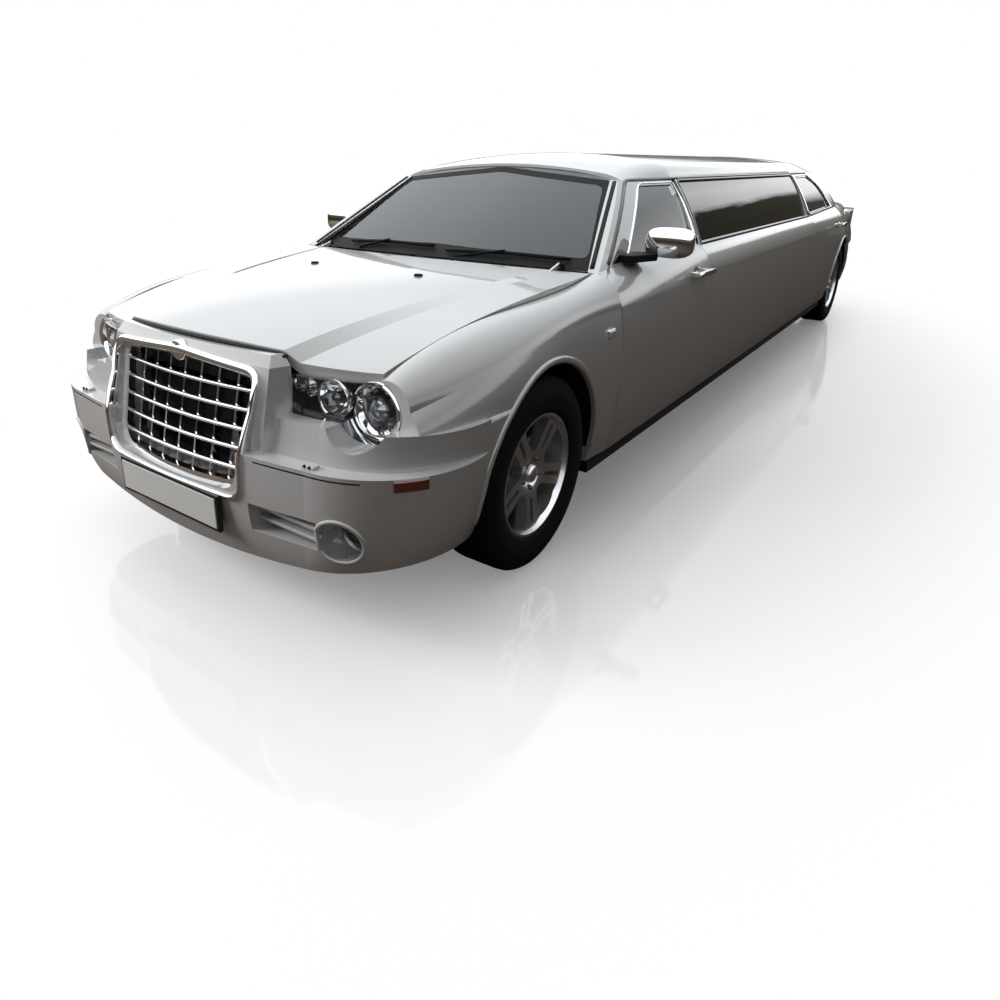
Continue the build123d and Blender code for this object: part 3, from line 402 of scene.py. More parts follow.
def rounded(points, radius, step=0.05, closed=True):
    """A line through points in a plane, with rounded corners and straights in short steps."""
    pts = [Vector(p) for p in points]
    n = len(pts)
    line = []
    for i, p in enumerate(pts):
        if not closed and i in (0, n - 1):
            line.append(p)
            continue
        a, b = pts[i - 1] - p, pts[(i + 1) % n] - p
        ra, rb = min(radius, a.length * 0.45), min(radius, b.length * 0.45)
        start, end = p + a.normalized() * ra, p + b.normalized() * rb
        for k in range(7):
            t = k / 6
            line.append(start * (1 - t) ** 2 + p * 2 * t * (1 - t) + end * t * t)
    out = []
    for p, q in zip(line, line[1:] + line[:1] if closed else line[1:]):
        cuts = max(1, ceil((q - p).length / step))
        out += [p + (q - p) * k / cuts for k in range(cuts)]
    return out if closed else out + line[-1:]


def skin_of(*names):
    """Something to cast rays at: the faces of some nodes."""
    verts, faces = [], []
    for name in names:
        obj = nodes[name]
        base = len(verts)
        verts += [obj.matrix_world @ v.co for v in obj.data.vertices]
        faces += [[base + i for i in poly.vertices] for poly in obj.data.polygons]
    return BVHTree.FromPolygons(verts, faces)


def cast(skin, start, way):
    """Where a ray meets a skin, and the skin's outward normal there."""
    place, normal, _, _ = skin.ray_cast(Vector(start), Vector(way))
    if place is None:
        return None
    return place, -normal if normal.dot(Vector(way)) > 0 else normal


def laid(skin, starts, way):
    """Hits of rays that all go one way."""
    hits = [cast(skin, start, way) for start in starts]
    return [h for h in hits if h]


def on_side(skin, side, line):
    """A line of (distance behind the front axle, height), laid on the car's side."""
    return laid(skin, [(side * 2.0, y_of(p[0]), p[1]) for p in line], (-side, 0, 0))


def on_front(skin, line):
    """A line of (x, z), laid on what faces forward."""
    return laid(skin, [(p[0], y_of(-2.0), p[1]) for p in line], (0, 1, 0))


# Side windows, as cut in the panels: distance behind the front axle, and height

BELT = 1.032
FRONT_WINDOW = [(0.85, BELT + 0.008), (1.618, BELT + 0.02), (1.68, 1.32), (1.29, 1.32)]
LONG_WINDOW = [(1.696, BELT + 0.012), (4.234, BELT + 0.012), (4.298, 1.332), (1.76, 1.332)]
REAR_WINDOW = [(4.306, BELT + 0.024), (5.44, BELT + 0.036), (5.215, 1.244), (4.965, 1.316), (4.37, 1.316)]
FRONT_POST = [(1.64, BELT + 0.006), (1.704, 1.325)]
REAR_POST = [(4.276, BELT + 0.014), (4.342, 1.325)]
MIRROR_PATCH = [(0.69, BELT - 0.002), (0.836, BELT + 0.002), (0.925, 1.1), (0.88, 1.12)]


def grown(points, by):
    """An outline moved outwards by a distance."""
    n = len(points)
    middle = sum((Vector(p) for p in points), Vector((0, 0))) / n
    lines = []
    for i in range(n):
        a, b = Vector(points[i]), Vector(points[(i + 1) % n])
        along = (b - a).normalized()
        out = Vector((along.y, -along.x))
        if out.dot(a - middle) < 0:
            out = -out
        lines.append((a + out * by, along))
    made = []
    for i in range(n):
        (p, d), (q, e) = lines[i - 1], lines[i]
        cross = d.x * e.y - d.y * e.x
        t = ((q.x - p.x) * e.y - (q.y - p.y) * e.x) / cross
        made.append(p + d * t)
    return made


def side_windows():
    front, rear = rounded(grown(FRONT_WINDOW, 0.009), 0.05), rounded(grown(REAR_WINDOW, 0.01), 0.05)
    long = rounded(grown(LONG_WINDOW, 0.006), 0.02, 0.12)
    front_post, rear_post = (rounded(post, 0.01, closed=False) for post in (FRONT_POST, REAR_POST))
    trims = (("front_window_bright", "front_door", front, 0.008, 0.005, CHROME, True),
             ("front_post_black", "front_door", front_post, 0.026, 0.004, GLOSS, False),
             ("long_window_seal", "side_panel", long, 0.016, 0.004, GLOSS, True),
             ("rear_window_bright", "rear_door", rear, 0.008, 0.005, CHROME, True),
             ("rear_post_black", "rear_door", rear_post, 0.02, 0.004, GLOSS, False))
    for name, s in SIDES:
        for label, panel, line, width, height, mat, closed in trims:
            body = "body" if panel == "side_panel" else f"{panel}_{name}"
            path = on_side(skin_of(f"{panel}_{name}"), s, line)
            ribbon(f"{label}_{name}", path, width, height, mat, body, closed)
        door = f"front_door_{name}"
        verts = [p + n * 0.0025 for p, n in on_side(skin_of(door), s, rounded(MIRROR_PATCH, 0.02, 0.03))]
        piece(f"mirror_patch_{name}", verts, [tuple(range(len(verts)))], GLOSS, door, False)


def handles():
    for name, s in SIDES:
        out = Vector((s, 0, 0))
        for door, y in (("front", 1.465), ("rear", 5.255)):
            body = f"{door}_door_{name}"
            label = f"{door}_{name}"
            skin = skin_of(body)
            path = [(Vector((s * 0.9675, y_of(y + a), 0.923)), out) for a in (-0.111, -0.06, 0.0, 0.06, 0.111)]
            piece(f"handle_{label}", *sweep(path, oval(0.014, 0.005, 12)), CHROME, body)
            ring = [(s * 0.938, y_of(y + a), 0.921 + b) for a, b in oval(0.05, 0.03, 24)]
            dish = [p + n * 0.0015 for p, n in laid(skin, ring, -out)]
            piece(f"handle_dish_{label}", dish, [tuple(range(len(dish)))], CHROME, body, False)
            for k in (-1, 1):
                foot = y + k * 0.08
                block(f"handle_foot_{label}_{k}", (s * 0.914, 0.026), (foot - 0.0165, foot + 0.0165),
                      (0.9155, 0.9305), CHROME, body, 0.003)


# Wheel arches: end, axle, way to the bumper, distance to its edge, seam height, its half width by height, panels

ARCH_R, ARCH_Z = 0.404, HUB_Z + 0.01
ARCHES = (
    ("front", FRONT_AXLE, -1, 0.398, 0.7,
     ((0.33, 0.898), (0.47, 0.93), (0.596, 0.94), (0.7, 0.944)), ("fender_{}", "front_bumper")),
    ("rear", REAR_AXLE, 1, 0.396, 0.705,
     ((0.25, 0.872), (0.42, 0.916), (0.56, 0.93), (0.705, 0.922)), ("quarter_{}", "rear_bumper")),
)


def on_table(table, z):
    """A width read between the rows of a short table."""
    for (z0, x0), (z1, x1) in zip(table, table[1:]):
        if z <= z1:
            return x0 + (x1 - x0) * (max(z, z0) - z0) / (z1 - z0)
    return table[-1][1]


def arch_corner(label, s, axle, way, edge, seam, table):
    """The corner of the bumper that completes the round of the arch."""
    rows, columns, thick = 14, 6, 0.03
    start = ARCH_Z + sqrt(ARCH_R ** 2 - edge ** 2)
    front, back = [], []
    for i in range(rows):
        z = start + (seam - 0.001 - start) * i / (rows - 1)
        inner = sqrt(ARCH_R ** 2 - (z - ARCH_Z) ** 2)
        for k in range(columns):
            y = axle + way * (inner + (edge + 0.001 - inner) * k / (columns - 1))
            front.append(Vector((s * on_table(table, z), y, z)))
            back.append(Vector((s * (on_table(table, z) - thick), y, z)))
    count = rows * columns
    faces = quads(rows, columns)
    faces += [tuple(q + count for q in reversed(quad)) for quad in faces]
    rim = list(range(columns)) + [columns * i + columns - 1 for i in range(1, rows)]
    rim += [count - 1 - k for k in range(1, columns)] + [columns * i for i in range(rows - 2, 0, -1)]
    faces += [(a, b, b + count, a + count) for a, b in zip(rim, rim[1:] + rim[:1])]
    piece(f"arch_corner_{label}", front + back, faces, PAINT)


def arches():
    steps = 61
    for end, axle, way, edge, seam, table, panels in ARCHES:
        hub = Vector((0, axle, ARCH_Z))
        for name, s in SIDES:
            label = f"{end}_{name}"
            arch_corner(label, s, axle, way, edge, seam, table)
            skin = skin_of(*[p.format(name) for p in panels])
            lip, dark = [], []
            for i in range(steps):
                a = radians(-4 + 188 * i / (steps - 1))
                out = Vector((0, way * cos(a), sin(a)))
                spot = hub + out * (ARCH_R + 0.012)
                hit = cast(skin, (s * 2.0, spot.y, spot.z), (-s, 0, 0))
                x = abs(hit[0].x) if hit and abs(hit[0].x) > 0.85 else on_table(table, spot.z)
                lip.append((Vector((s * x, spot.y, spot.z)), Vector((s, 0, 0))))
                rim = hub + out * (ARCH_R - 0.0015)
                dark += [Vector((s * 0.6, rim.y, rim.z)), Vector((s * (x - 0.014), rim.y, rim.z))]
            ribbon(f"arch_lip_{label}", lip, 0.024, 0.007, PAINT)
            piece(f"arch_dark_{label}", dark, quads(steps, 2), BLACK)


def mirrors():
    half, power, rows, columns = Vector((0.102, 0.048, 0.063)), 0.62, 20, 32
    foot = [(0.8, 0.775), (0.852, 0.775), (0.912, 0.92), (0.88, 0.99), (0.8, 0.92)]

    def bend(v):
        return copysign(abs(v) ** power, v)

    for name, s in SIDES:
        body = f"front_door_{name}"
        centre = Vector((s * 0.945, y_of(0.95), 1.106))
        verts = []
        for i in range(rows + 1):
            a = pi * i / rows - pi / 2
            round_x, round_z = bend(cos(a)), bend(sin(a))
            for b, c in oval(1.0, 1.0, columns):
                verts.append(centre + Vector((half.x * round_x * bend(b), half.y * round_x * bend(c),
                                              half.z * round_z)))
        shell = piece(f"mirror_shell_{name}", verts, rings(rows + 1, columns), CHROME, body)
        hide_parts(f"mirror_{name}")
        verts = [(s * x, y_of(y), z) for z in (1.03, 1.062) for x, y in foot]
        soften(piece(f"mirror_foot_{name}", verts, tube(2, len(foot)), BLACK, body, False), 0.006)
        block(f"mirror_glass_{name}", (s * 0.945, 0.082), (0.99, 0.9985), (1.06, 1.152), GLOSS, body, 0.003)


def drip_rails():
    """The dark line over the side windows, and the lamp on the front wing."""
    roof = skin_of("roof")
    for name, s in SIDES:
        line = rounded([(0.66, 1.034), (1.172, 1.341), (1.215, 1.3475), (4.98, 1.3475)], 0.03, 0.06, False)
        ribbon(f"drip_rail_{name}", on_side(roof, s, line), 0.015, 0.004, GLOSS)
        spot = on_side(skin_of(f"fender_{name}"), s, [(0.47, 0.8)])[0][0]
        stud(f"side_repeater_{name}", spot, (0.006, 0.03), (-0.019, 0.019), CHROME)
        stud(f"side_repeater_lens_{name}", spot, (0.009, 0.024), (-0.013, 0.013), BULB, edge=0.003)


# Screens

def outline(corner, middle_low, top, middle_high):
    """The (x, z) outline of a screen, from its corners and its heights midway."""
    (x0, z0), (x1, z1) = corner, top
    return rounded([(-x0, z0), (0.0, middle_low), (x0, z0), (x1, z1), (0.0, middle_high), (-x1, z1)], 0.03, 0.03)


def evenly(line, n):
    """n points at even steps along a closed line."""
    total = [0.0]
    for i in range(len(line)):
        total.append(total[-1] + (line[(i + 1) % len(line)] - line[i]).length)
    made, k = [], 0
    for i in range(n):
        want = total[-1] * i / n
        while total[k + 1] < want:
            k += 1
        t = (want - total[k]) / max(total[k + 1] - total[k], 1e-9)
        made.append(line[k] + (line[(k + 1) % len(line)] - line[k]) * t)
    return made


def frit_band(name, glass, outer, inner, way, start):
    """The black printed border of a screen, laid on the glass."""
    n = 160
    middle = sum((Vector(p) for p in inner), Vector((0, 0))) / len(inner)
    verts = []
    for p in evenly(outer, n) + evenly(inner, n):
        hit = None
        while hit is None:
            hit = cast(glass, (p.x, y_of(start), p.y), way)
            p = p + (middle - p) * 0.008
        verts.append(hit[0] + hit[1] * 0.0012)
    piece(name, verts, rings(2, n), BLACK)


def screens():
    outer = outline((0.768, 1.008), 1.022, (0.59, 1.341), 1.398)
    inner = outline((0.715, 1.048), 1.07, (0.56, 1.322), 1.376)
    frit_band("windscreen_frit", skin_of("windscreen"), outer, inner, (0, 1, 0), -2.0)
    posts = skin_of("roof")
    for name, s in SIDES:
        line = rounded([(s * 0.776, 1.022), (s * 0.604, 1.34)], 0.01, 0.03, False)
        ribbon(f"screen_seal_{name}", on_front(posts, line), 0.02, 0.004, BLACK)
    outer = outline((0.73, 1.086), 1.095, (0.57, 1.34), 1.396)
    inner = outline((0.67, 1.118), 1.128, (0.535, 1.318), 1.372)
    frit_band("backlight_frit", skin_of("backlight"), outer, inner, (0, -1, 0), 8.0)


def wipers():
    glass = skin_of("windscreen")
    for name, foot, line in (
            ("left", (0.12, 0.52, 0.995), [(0.1, 1.04), (0.38, 1.046), (0.66, 1.036)]),
            ("right", (-0.46, 0.545, 0.995), [(-0.52, 1.036), (-0.25, 1.052), (0.02, 1.052)])):
        path = [(p + n * 0.012, n) for p, n in on_front(glass, rounded(line, 0.1, 0.06, False))]
        ribbon(f"wiper_blade_{name}", path, 0.016, 0.01, BLACK)
        middle, out = path[len(path) // 2]
        base = Vector((foot[0], y_of(foot[1]), foot[2]))
        rod(f"wiper_arm_{name}", [base, base + Vector((0.03, -0.01, 0.035)), middle + out * 0.014], 0.006, BLACK)
        turned(f"wiper_pivot_{name}", [(-0.02, 0.014), (0.008, 0.014), (0.012, 0.01), (0.012, 0.0)], base, BLACK,
               axis=(0, 0, 1), steps=16)


# Front

GRILLE_TOP, GRILLE_CROWN, GRILLE_BOTTOM = 0.816, 0.838, 0.456
GRILLE_HALF_TOP, GRILLE_HALF_LOW = 0.364, 0.34
GRILLE_ROWS = 6


def grille_line(grow):
    """The grille's opening seen from the front, as a line of (x, z)."""
    top, low = GRILLE_HALF_TOP + grow, GRILLE_HALF_LOW + grow
    z1, z0, crown = GRILLE_TOP + grow, GRILLE_BOTTOM - grow, GRILLE_CROWN + grow
    return rounded([(-low, z0), (0.0, z0 - 0.006), (low, z0), (top, z1), (0.0, crown), (-top, z1)], 0.055, 0.03)


def grille_surround(nose):
    """The bright surround, wider at the top, on a line that evens out the nose."""
    hits = [hit for hit, _ in on_front(nose, grille_line(0.013))]
    n, reach = len(hits), range(-2, 3)
    ahead = [min(hits[(i + k) % n].y for k in reach) for i in range(n)]
    line = [Vector((p.x, sum(ahead[(i + k) % n] for k in reach) / len(reach), p.z)) for i, p in enumerate(hits)]
    verts, out = [], Vector((0, -1, 0))
    for i, p in enumerate(line):
        across = (line[(i + 1) % n] - line[i - 1]).cross(out).normalized()
        half = 0.008 + 0.007 * min(1.0, max(0.0, (p.z - 0.79) / 0.03))
        deep = hits[i].y - p.y + 0.004
        section = arc(half, 0.01) + [(-half, -deep), (half, -deep)]
        verts += [p + across * u + out * v for u, v in section]
    piece("grille_surround", verts, rings(n, len(section), True), CHROME)


def grille_bright():
    """The bright surround, the round-nosed bars and the plain boss of the grille."""
    nose, bars = skin_of("front_bumper"), skin_of("grille")
    grille_surround(nose)
    tall = GRILLE_TOP - GRILLE_BOTTOM
    for i in range(1, GRILLE_ROWS):
        z = GRILLE_BOTTOM + tall / GRILLE_ROWS * i + 0.006
        half = GRILLE_HALF_LOW + (GRILLE_HALF_TOP - GRILLE_HALF_LOW) * (z - GRILLE_BOTTOM) / tall - 0.022
        hits = [hit for hit, _ in on_front(bars, [(-half + half * k / 24, z) for k in range(49)])]
        middle = max(p.y for p in hits if abs(p.x) < 0.06)
        end = max(p.y for p in hits if abs(p.x) > half - 0.06)
        path = [(Vector((half * k / 12, middle + (end - middle) * (k / 12) ** 2, z)), Vector((0, -1, 0)))
                for k in range(-12, 13)]
        ribbon(f"grille_bar_{i}", path, 0.0135, 0.009, CHROME)
    crown = on_front(nose, [(0.0, GRILLE_CROWN + 0.018)])[0][0]
    boss = [(0.012, 0.034), (0.0, 0.034), (-0.006, 0.031), (-0.004, 0.025), (-0.007, 0.018), (-0.008, 0.0)]
    turned("grille_boss", boss, crown + Vector((0, -0.006, -0.012)), CHROME, steps=40)
    block("radiator", (0.0, 0.36), (-0.7, -0.66), (0.4, 0.8), BLACK)


def bonnet_gap_shade():
    """A black strip in the gap between the bonnet's front edge and the nose: painted shade in the shut line."""
    bonnet = skin_of("bonnet")
    path = []
    for k in range(-16, 17):
        x = 0.415 * k / 16
        y = y_of(-0.744 + 0.138 * (x / 0.79) ** 2)
        hit = cast(bonnet, (x, y + 0.012, 2.0), (0, 0, -1))
        if hit:
            path.append((Vector((x, y - 0.003, hit[0].z - 0.012)), Vector((0, 0, 1))))
    # painted shade: a black ribbon lying in the gap under the bonnet's front edge
    ribbon("bonnet_gap_shade", path, 0.03, 0.003, BLACK)


def fog_lamp(name, s, bumper):
    """A lamp deep in its round bore, and two slats in the vent beside it."""
    x, y, z = centre = (s * 0.702, y_of(-0.738), 0.385)
    for label, profile, mat in (
            ("ring", [(0.02, 0.0632), (0.0, 0.0632), (-0.002, 0.06), (0.002, 0.055), (0.03, 0.053)], HOUSING),
            ("bowl", [(0.0, 0.055), (0.025, 0.046), (0.042, 0.022), (0.044, 0.0)], CHROME),
            ("glass", [(-0.008, 0.0), (-0.006, 0.028), (0.0, 0.055), (0.004, 0.055)], LENS)):
        turned(f"fog_{label}_{name}", profile, centre, mat)
    for k in range(2):
        low = 0.37 + 0.034 * k
        block(f"vent_slat_{name}_{k}", (s * 0.51, 0.129), (-0.834, -0.795), (low, low + 0.012), PAINT, edge=0.003)
    block(f"vent_back_{name}", (s * 0.505, 0.124), (-0.79, -0.78), (0.335, 0.45), BLACK, edge=0.0)
    ring = oval(0.0634, 0.0634, 48)
    above, below = 0.462, 0.306
    mouth = [max(p.y for p, _ in on_front(bumper, [(x + a, above), (x + a, below)])) + 0.002 for a, _ in ring]
    verts = [(x + a, m, z + b) for (a, b), m in zip(ring, mouth)] + [(x + a, y, z + b) for a, b in ring]
    piece(f"fog_bore_{name}", verts, rings(2, len(ring)), PAINT)
    lip = [(x + a, z + b) for a, b in oval(0.071, 0.071, 48)]
    ribbon(f"fog_lip_{name}", on_front(bumper, lip), 0.014, 0.006, PAINT, closed=True)


def marker_lamp(name, s, bumper):
    """The side marker round the bumper's corner, and a painted shadow line in the groove that leads to it."""
    def from_corner(x, z, degrees):
        """A hit on the bumper, cast towards a place inside it."""
        a = radians(degrees)
        way = Vector((s * cos(a), sin(a), 0))
        return cast(bumper, Vector((s * x, y_of(-0.35), z)) + way * 2.0, -way)

    columns, levels = 9, (0.556, 0.559, 0.576, 0.592, 0.595)
    spots = [from_corner(0.5, z, -48 + 1.4 * k) for z in levels for k in range(columns)]
    verts = [p + n * (0.004 if 0 < i // columns < len(levels) - 1 else 0.0005) for i, (p, n) in enumerate(spots)]
    piece(f"side_marker_{name}", verts, quads(len(levels), columns), MARKER)
    # painted shadow: a thin black ribbon in the groove under the bumper's ledge, standing in for its shade
    line = [from_corner(0.36, 0.582, -84 + 37 * k / 24) for k in range(25)]
    ribbon(f"painted_groove_shadow_{name}", [h for h in line if h], 0.005, 0.0008, BLACK)


def front_details():
    bumper, bonnet = skin_of("front_bumper"), skin_of("bonnet")
    for name, s in SIDES:
        fog_lamp(name, s, bumper)
        marker_lamp(name, s, bumper)
        spot = cast(bumper, (s * 0.603, y_of(-0.815), 0.9), (0, 0, -1))[0]
        stud(f"lamp_washer_{name}", spot, (0.026, 0.014), (-0.002, 0.01), PAINT)
        for k in (-1, 1):
            turned(f"lamp_jet_{name}_{k}", [(0.0, 0.005), (-0.004, 0.005), (-0.004, 0.0)],
                   spot + Vector((k * 0.01, -0.012, 0.006)), BLACK, steps=12)
        spot = cast(bonnet, (s * 0.284, y_of(0.086), 2.0), (0, 0, -1))[0]
        stud(f"screen_jet_{name}", spot, (0.014, 0.012), (-0.002, 0.008), BLACK, "bonnet", 0.003)
    block("plate_frame_front", (0.0, 0.272), (-0.908, -0.892), (0.312, 0.44), GLOSS)
    block("plate_front", (0.0, 0.26), (-0.911, -0.905), (0.324, 0.428), PLATE, edge=0.002)
    grille_bright()
    bonnet_gap_shade()


# Insides of a headlamp: a centre (x, distance behind the axle, height) and the rounds about it

LAMP_ROUNDS = (
    ((0.702, -0.64, 0.738), (
        ("bezel", CHROME, 48, [(0.03, 0.09), (0.0, 0.092), (-0.006, 0.086), (0.004, 0.074), (0.03, 0.06)]),
        ("bowl", CHROME, 48, [(0.004, 0.074), (0.036, 0.06), (0.05, 0.046)]),
        ("rim", HOUSING, 48, [(0.05, 0.046), (0.008, 0.044), (0.004, 0.04), (0.01, 0.037)]),
        ("projector", BULB, 48, [(-0.008, 0.0), (-0.005, 0.016), (0.004, 0.03), (0.012, 0.037)]))),
    ((0.562, -0.652, 0.757), (
        ("inner_rim", CHROME, 48, [(0.0, 0.062), (-0.02, 0.064), (-0.024, 0.06), (-0.018, 0.056)]),
        ("inner_bowl", CHROME, 48, [(-0.018, 0.056), (0.014, 0.048), (0.04, 0.026), (0.046, 0.0)]),
        ("inner_cap", HOUSING, 24, [(-0.014, 0.0), (-0.012, 0.014), (0.004, 0.019), (0.03, 0.019)]))),
    ((0.468, -0.66, 0.775), (
        ("side_bowl", CHROME, 32, [(-0.012, 0.03), (0.012, 0.024), (0.028, 0.0)]),)),
)


def headlamps():
    for name, s in SIDES:
        block(f"lamp_back_{name}", (s * 0.6, 0.165), (-0.596, -0.59), (0.702, 0.8), BLACK, edge=0.0)
        for (x, y, z), rounds in LAMP_ROUNDS:
            for label, mat, steps, profile in rounds:
                turned(f"lamp_{label}_{name}", profile, (s * x, y_of(y), z), mat, steps=steps)
        block(f"lamp_shelf_{name}", (s * 0.53, 0.088), (-0.685, -0.6), (0.702, 0.708), HOUSING, edge=0.002)


# Wheels

def tyre_profile():
    """Half a tyre from bead to tread, mirrored. The points are (across, radius)."""
    wall = [(0.1005, 0.2303), (0.108, 0.248), (0.1128, 0.285), (0.112, 0.312), (0.1105, 0.314), (0.109, 0.33),
            (0.1, 0.3465), (0.09, 0.355), (0.08, 0.3605)]
    groove = TYRE_R - 0.007
    for a in (0.06, 0.02):
        wall += [(a + 0.005, TYRE_R - 0.0012), (a + 0.0045, groove), (a - 0.0045, groove),
                 (a - 0.005, TYRE_R - 0.0008)]
    return wall + [(-d, r) for d, r in reversed(wall)]


def wheels():
    profile, across, nut_ring = tyre_profile(), (1, 0, 0), 0.057
    for end, y in (("front", FRONT_AXLE), ("rear", REAR_AXLE)):
        for name, s in SIDES:
            label = f"{end}_{name}"
            body = f"wheel_{label}"
            tyre = turned(f"tread_{label}", profile, (s * TRACK / 2, y, HUB_Z), TREAD, across, body, 72, True)
            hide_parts(f"tyre_{label}")
            cap = [(0.0, 0.033), (s * 0.008, 0.033), (s * 0.013, 0.027), (s * 0.015, 0.012), (s * 0.015, 0.0)]
            turned(f"cap_{label}", cap, (s * (TRACK / 2 + 0.07), y, HUB_Z), ALLOY, across, body, 32)
            nut = [(0.0, 0.0095), (s * 0.02, 0.0095), (s * 0.025, 0.006), (s * 0.025, 0.0)]
            for k in range(5):
                a = 2 * pi * k / 5 + pi / 5
                place = (s * (TRACK / 2 + 0.052), y + nut_ring * sin(a), HUB_Z + nut_ring * cos(a))
                turned(f"nut_{label}_{k}", nut, place, IRON, across, body, 6)


def brakes():
    steps, section = 9, [(0.738, 0.105), (0.738, 0.178), (0.78, 0.178), (0.78, 0.105)]
    for name, s in SIDES:
        for end, body, y in (("front", f"knuckle_{name}", FRONT_AXLE), ("rear", "body", REAR_AXLE)):
            verts = []
            for i in range(steps):
                a = radians(-28 + 7 * i)
                verts += [(s * x, y + r * cos(a), HUB_Z + r * sin(a)) for x, r in section]
            caliper = piece(f"caliper_{end}_{name}", verts, tube(steps, len(section)), STEEL, body)
            soften(caliper, 0.006)


# Rear

def rear_details():
    strip = laid(skin_of("boot_lid"), [(x, 6.0, 0.905) for x in (-0.4, -0.2, 0.0, 0.2, 0.4)], (0, -1, 0))
    ribbon("lid_bright_strip", strip, 0.026, 0.01, CHROME, "boot_lid")
    for name, s in SIDES:
        x, under = s * 0.43, s * 0.24
        turned(f"tail_pipe_{name}", [(0.0, 0.034), (0.17, 0.034), (0.175, 0.038), (0.172, 0.041), (0.0, 0.041)],
               (x, y_of(6.44), 0.3), CHROME, steps=32)
        rod(f"tail_pipe_inner_{name}",
            [(x, y_of(6.3), 0.36), (x, y_of(6.4), 0.315), (x, y_of(6.46), 0.3)], 0.03, STEEL)
        rod(f"exhaust_pipe_{name}",
            [(x, y_of(6.01), 0.42), (x * 0.8, y_of(5.8), 0.3), (under, y_of(5.45), 0.19), (under, y_of(5.0), 0.185),
             (under, y_of(1.2), 0.185), (s * 0.22, y_of(0.66), 0.22), (s * 0.22, y_of(0.45), 0.34)], 0.028, STEEL)
        block(f"reverse_lamp_{name}", (s * 0.72, 0.045), (6.597, 6.612), (0.8, 0.84), LENS, edge=0.003)
    rod("prop_shaft", [(0, y_of(0.6), 0.4), (0, y_of(0.7), 0.195), (0, y_of(5.1), 0.195), (0, y_of(5.47), 0.33)],
        0.034, STEEL)


def lamp_fairings():
    """The flared end of the rear wing that meets the tail lamp."""
    rows, columns = 10, 9
    for name, s in SIDES:
        wing = skin_of(f"quarter_{name}")
        verts = []
        for k in range(columns):
            t = k / (columns - 1)
            y, x = 6.2 + 0.247 * t, 0.9
            for i in range(rows):
                z = 0.79 + 0.205 * i / (rows - 1)
                hit = cast(wing, (s * 2.0, y_of(y), z), (-s, 0, 0))
                x = abs(hit[0].x) if hit else x - 0.012
                flare = max(0.0, 0.8395 - x) * t * t * (3 - 2 * t)
                verts.append(Vector((s * (x + flare + 0.0004), y_of(y), z)))
            verts.append(Vector((s * 0.765, y_of(y), 0.995)))
        piece(f"lamp_fairing_{name}", verts, quads(columns, rows + 1), PAINT)


# Linings

def lining(name, skin, grid, way, mat, body):
    """A pad inside a panel, from rows of rays that all go one way."""
    off = 0.008
    hits = [[cast(skin, start, way) for start in row] for row in grid]
    verts, faces, index = [], [], {}
    for i, row in enumerate(hits):
        for k, hit in enumerate(row):
            if hit:
                index[i, k] = len(verts)
                verts.append(hit[0] - Vector(way) * off)
    for i in range(len(hits) - 1):
        for k in range(len(hits[0]) - 1):
            ring = [(i, k), (i, k + 1), (i + 1, k + 1), (i + 1, k)]
            if all(c in index for c in ring):
                faces.append(tuple(index[c] for c in ring))
    pad = piece(name, verts, faces, mat, body)
    mod = pad.modifiers.new("thick", "SOLIDIFY")
    mod.thickness, mod.offset = off * 0.9, 0.0


def linings():
    """Door trim with arm rests, and pads under the bonnet and boot lid."""
    for name, s in SIDES:
        for door, front, back in (("front", 0.86, 1.6), ("rear", 4.36, 5.06)):
            body = f"{door}_door_{name}"
            grid = [[(s * 0.3, y_of(front + (back - front) * k / 12), 0.33 + 0.6 * i / 10) for k in range(13)]
                    for i in range(11)]
            lining(f"{door}_door_trim_{name}", skin_of(body), grid, (s, 0, 0), LEATHER, body)
            middle = (front + back) / 2
            block(f"{door}_arm_rest_{name}", (s * 0.828, 0.022), (middle - 0.24, middle + 0.24), (0.7, 0.745),
                  BLACK, body, 0.012)
            block(f"{door}_trim_line_{name}", (s * 0.84, 0.006), (front + 0.04, back - 0.04), (0.8, 0.822),
                  VENEER, body, 0.003)
    up = (0, 0, 1)
    grid = [[(-0.56 + 1.12 * k / 14, y_of(-0.56 + 0.92 * i / 14), 0.3) for k in range(15)] for i in range(15)]
    lining("bonnet_pad", skin_of("bonnet"), grid, up, FELT, "bonnet")
    grid = [[(-0.52 + 1.04 * k / 12, y_of(6.03 + 0.47 * i / 8), 0.8) for k in range(13)] for i in range(9)]
    lining("boot_lid_pad", skin_of("boot_lid"), grid, up, FELT, "boot_lid")


def boot_tray():
    """The lining of the boot's floor, and plates at the back of the engine bay."""
    level = cast(skin_of("floor_pan"), (0.0, y_of(6.2), 0.9), (0, 0, -1))[0].z + 0.003
    walls = skin_of("quarter_left", "quarter_right", "rear_bumper", "arch_liners")
    rows, verts = 40, []
    for k in range(rows):
        y = y_of(5.35 + 1.235 * k / (rows - 1))
        for s in (-1, 1):
            hit = cast(walls, (s * 0.2, y, level), (s, 0, 0))
            verts.append(Vector((hit[0].x + s * 0.003 if hit else s * 0.58, y, level)))
    piece("boot_tray", verts, quads(rows, 2), FELT)
    for name, s in SIDES:
        block(f"bay_plate_{name}", (s * 0.71, 0.1), (0.478, 0.488), (0.45, 0.93), BLACK, edge=0.0)


# Cushions

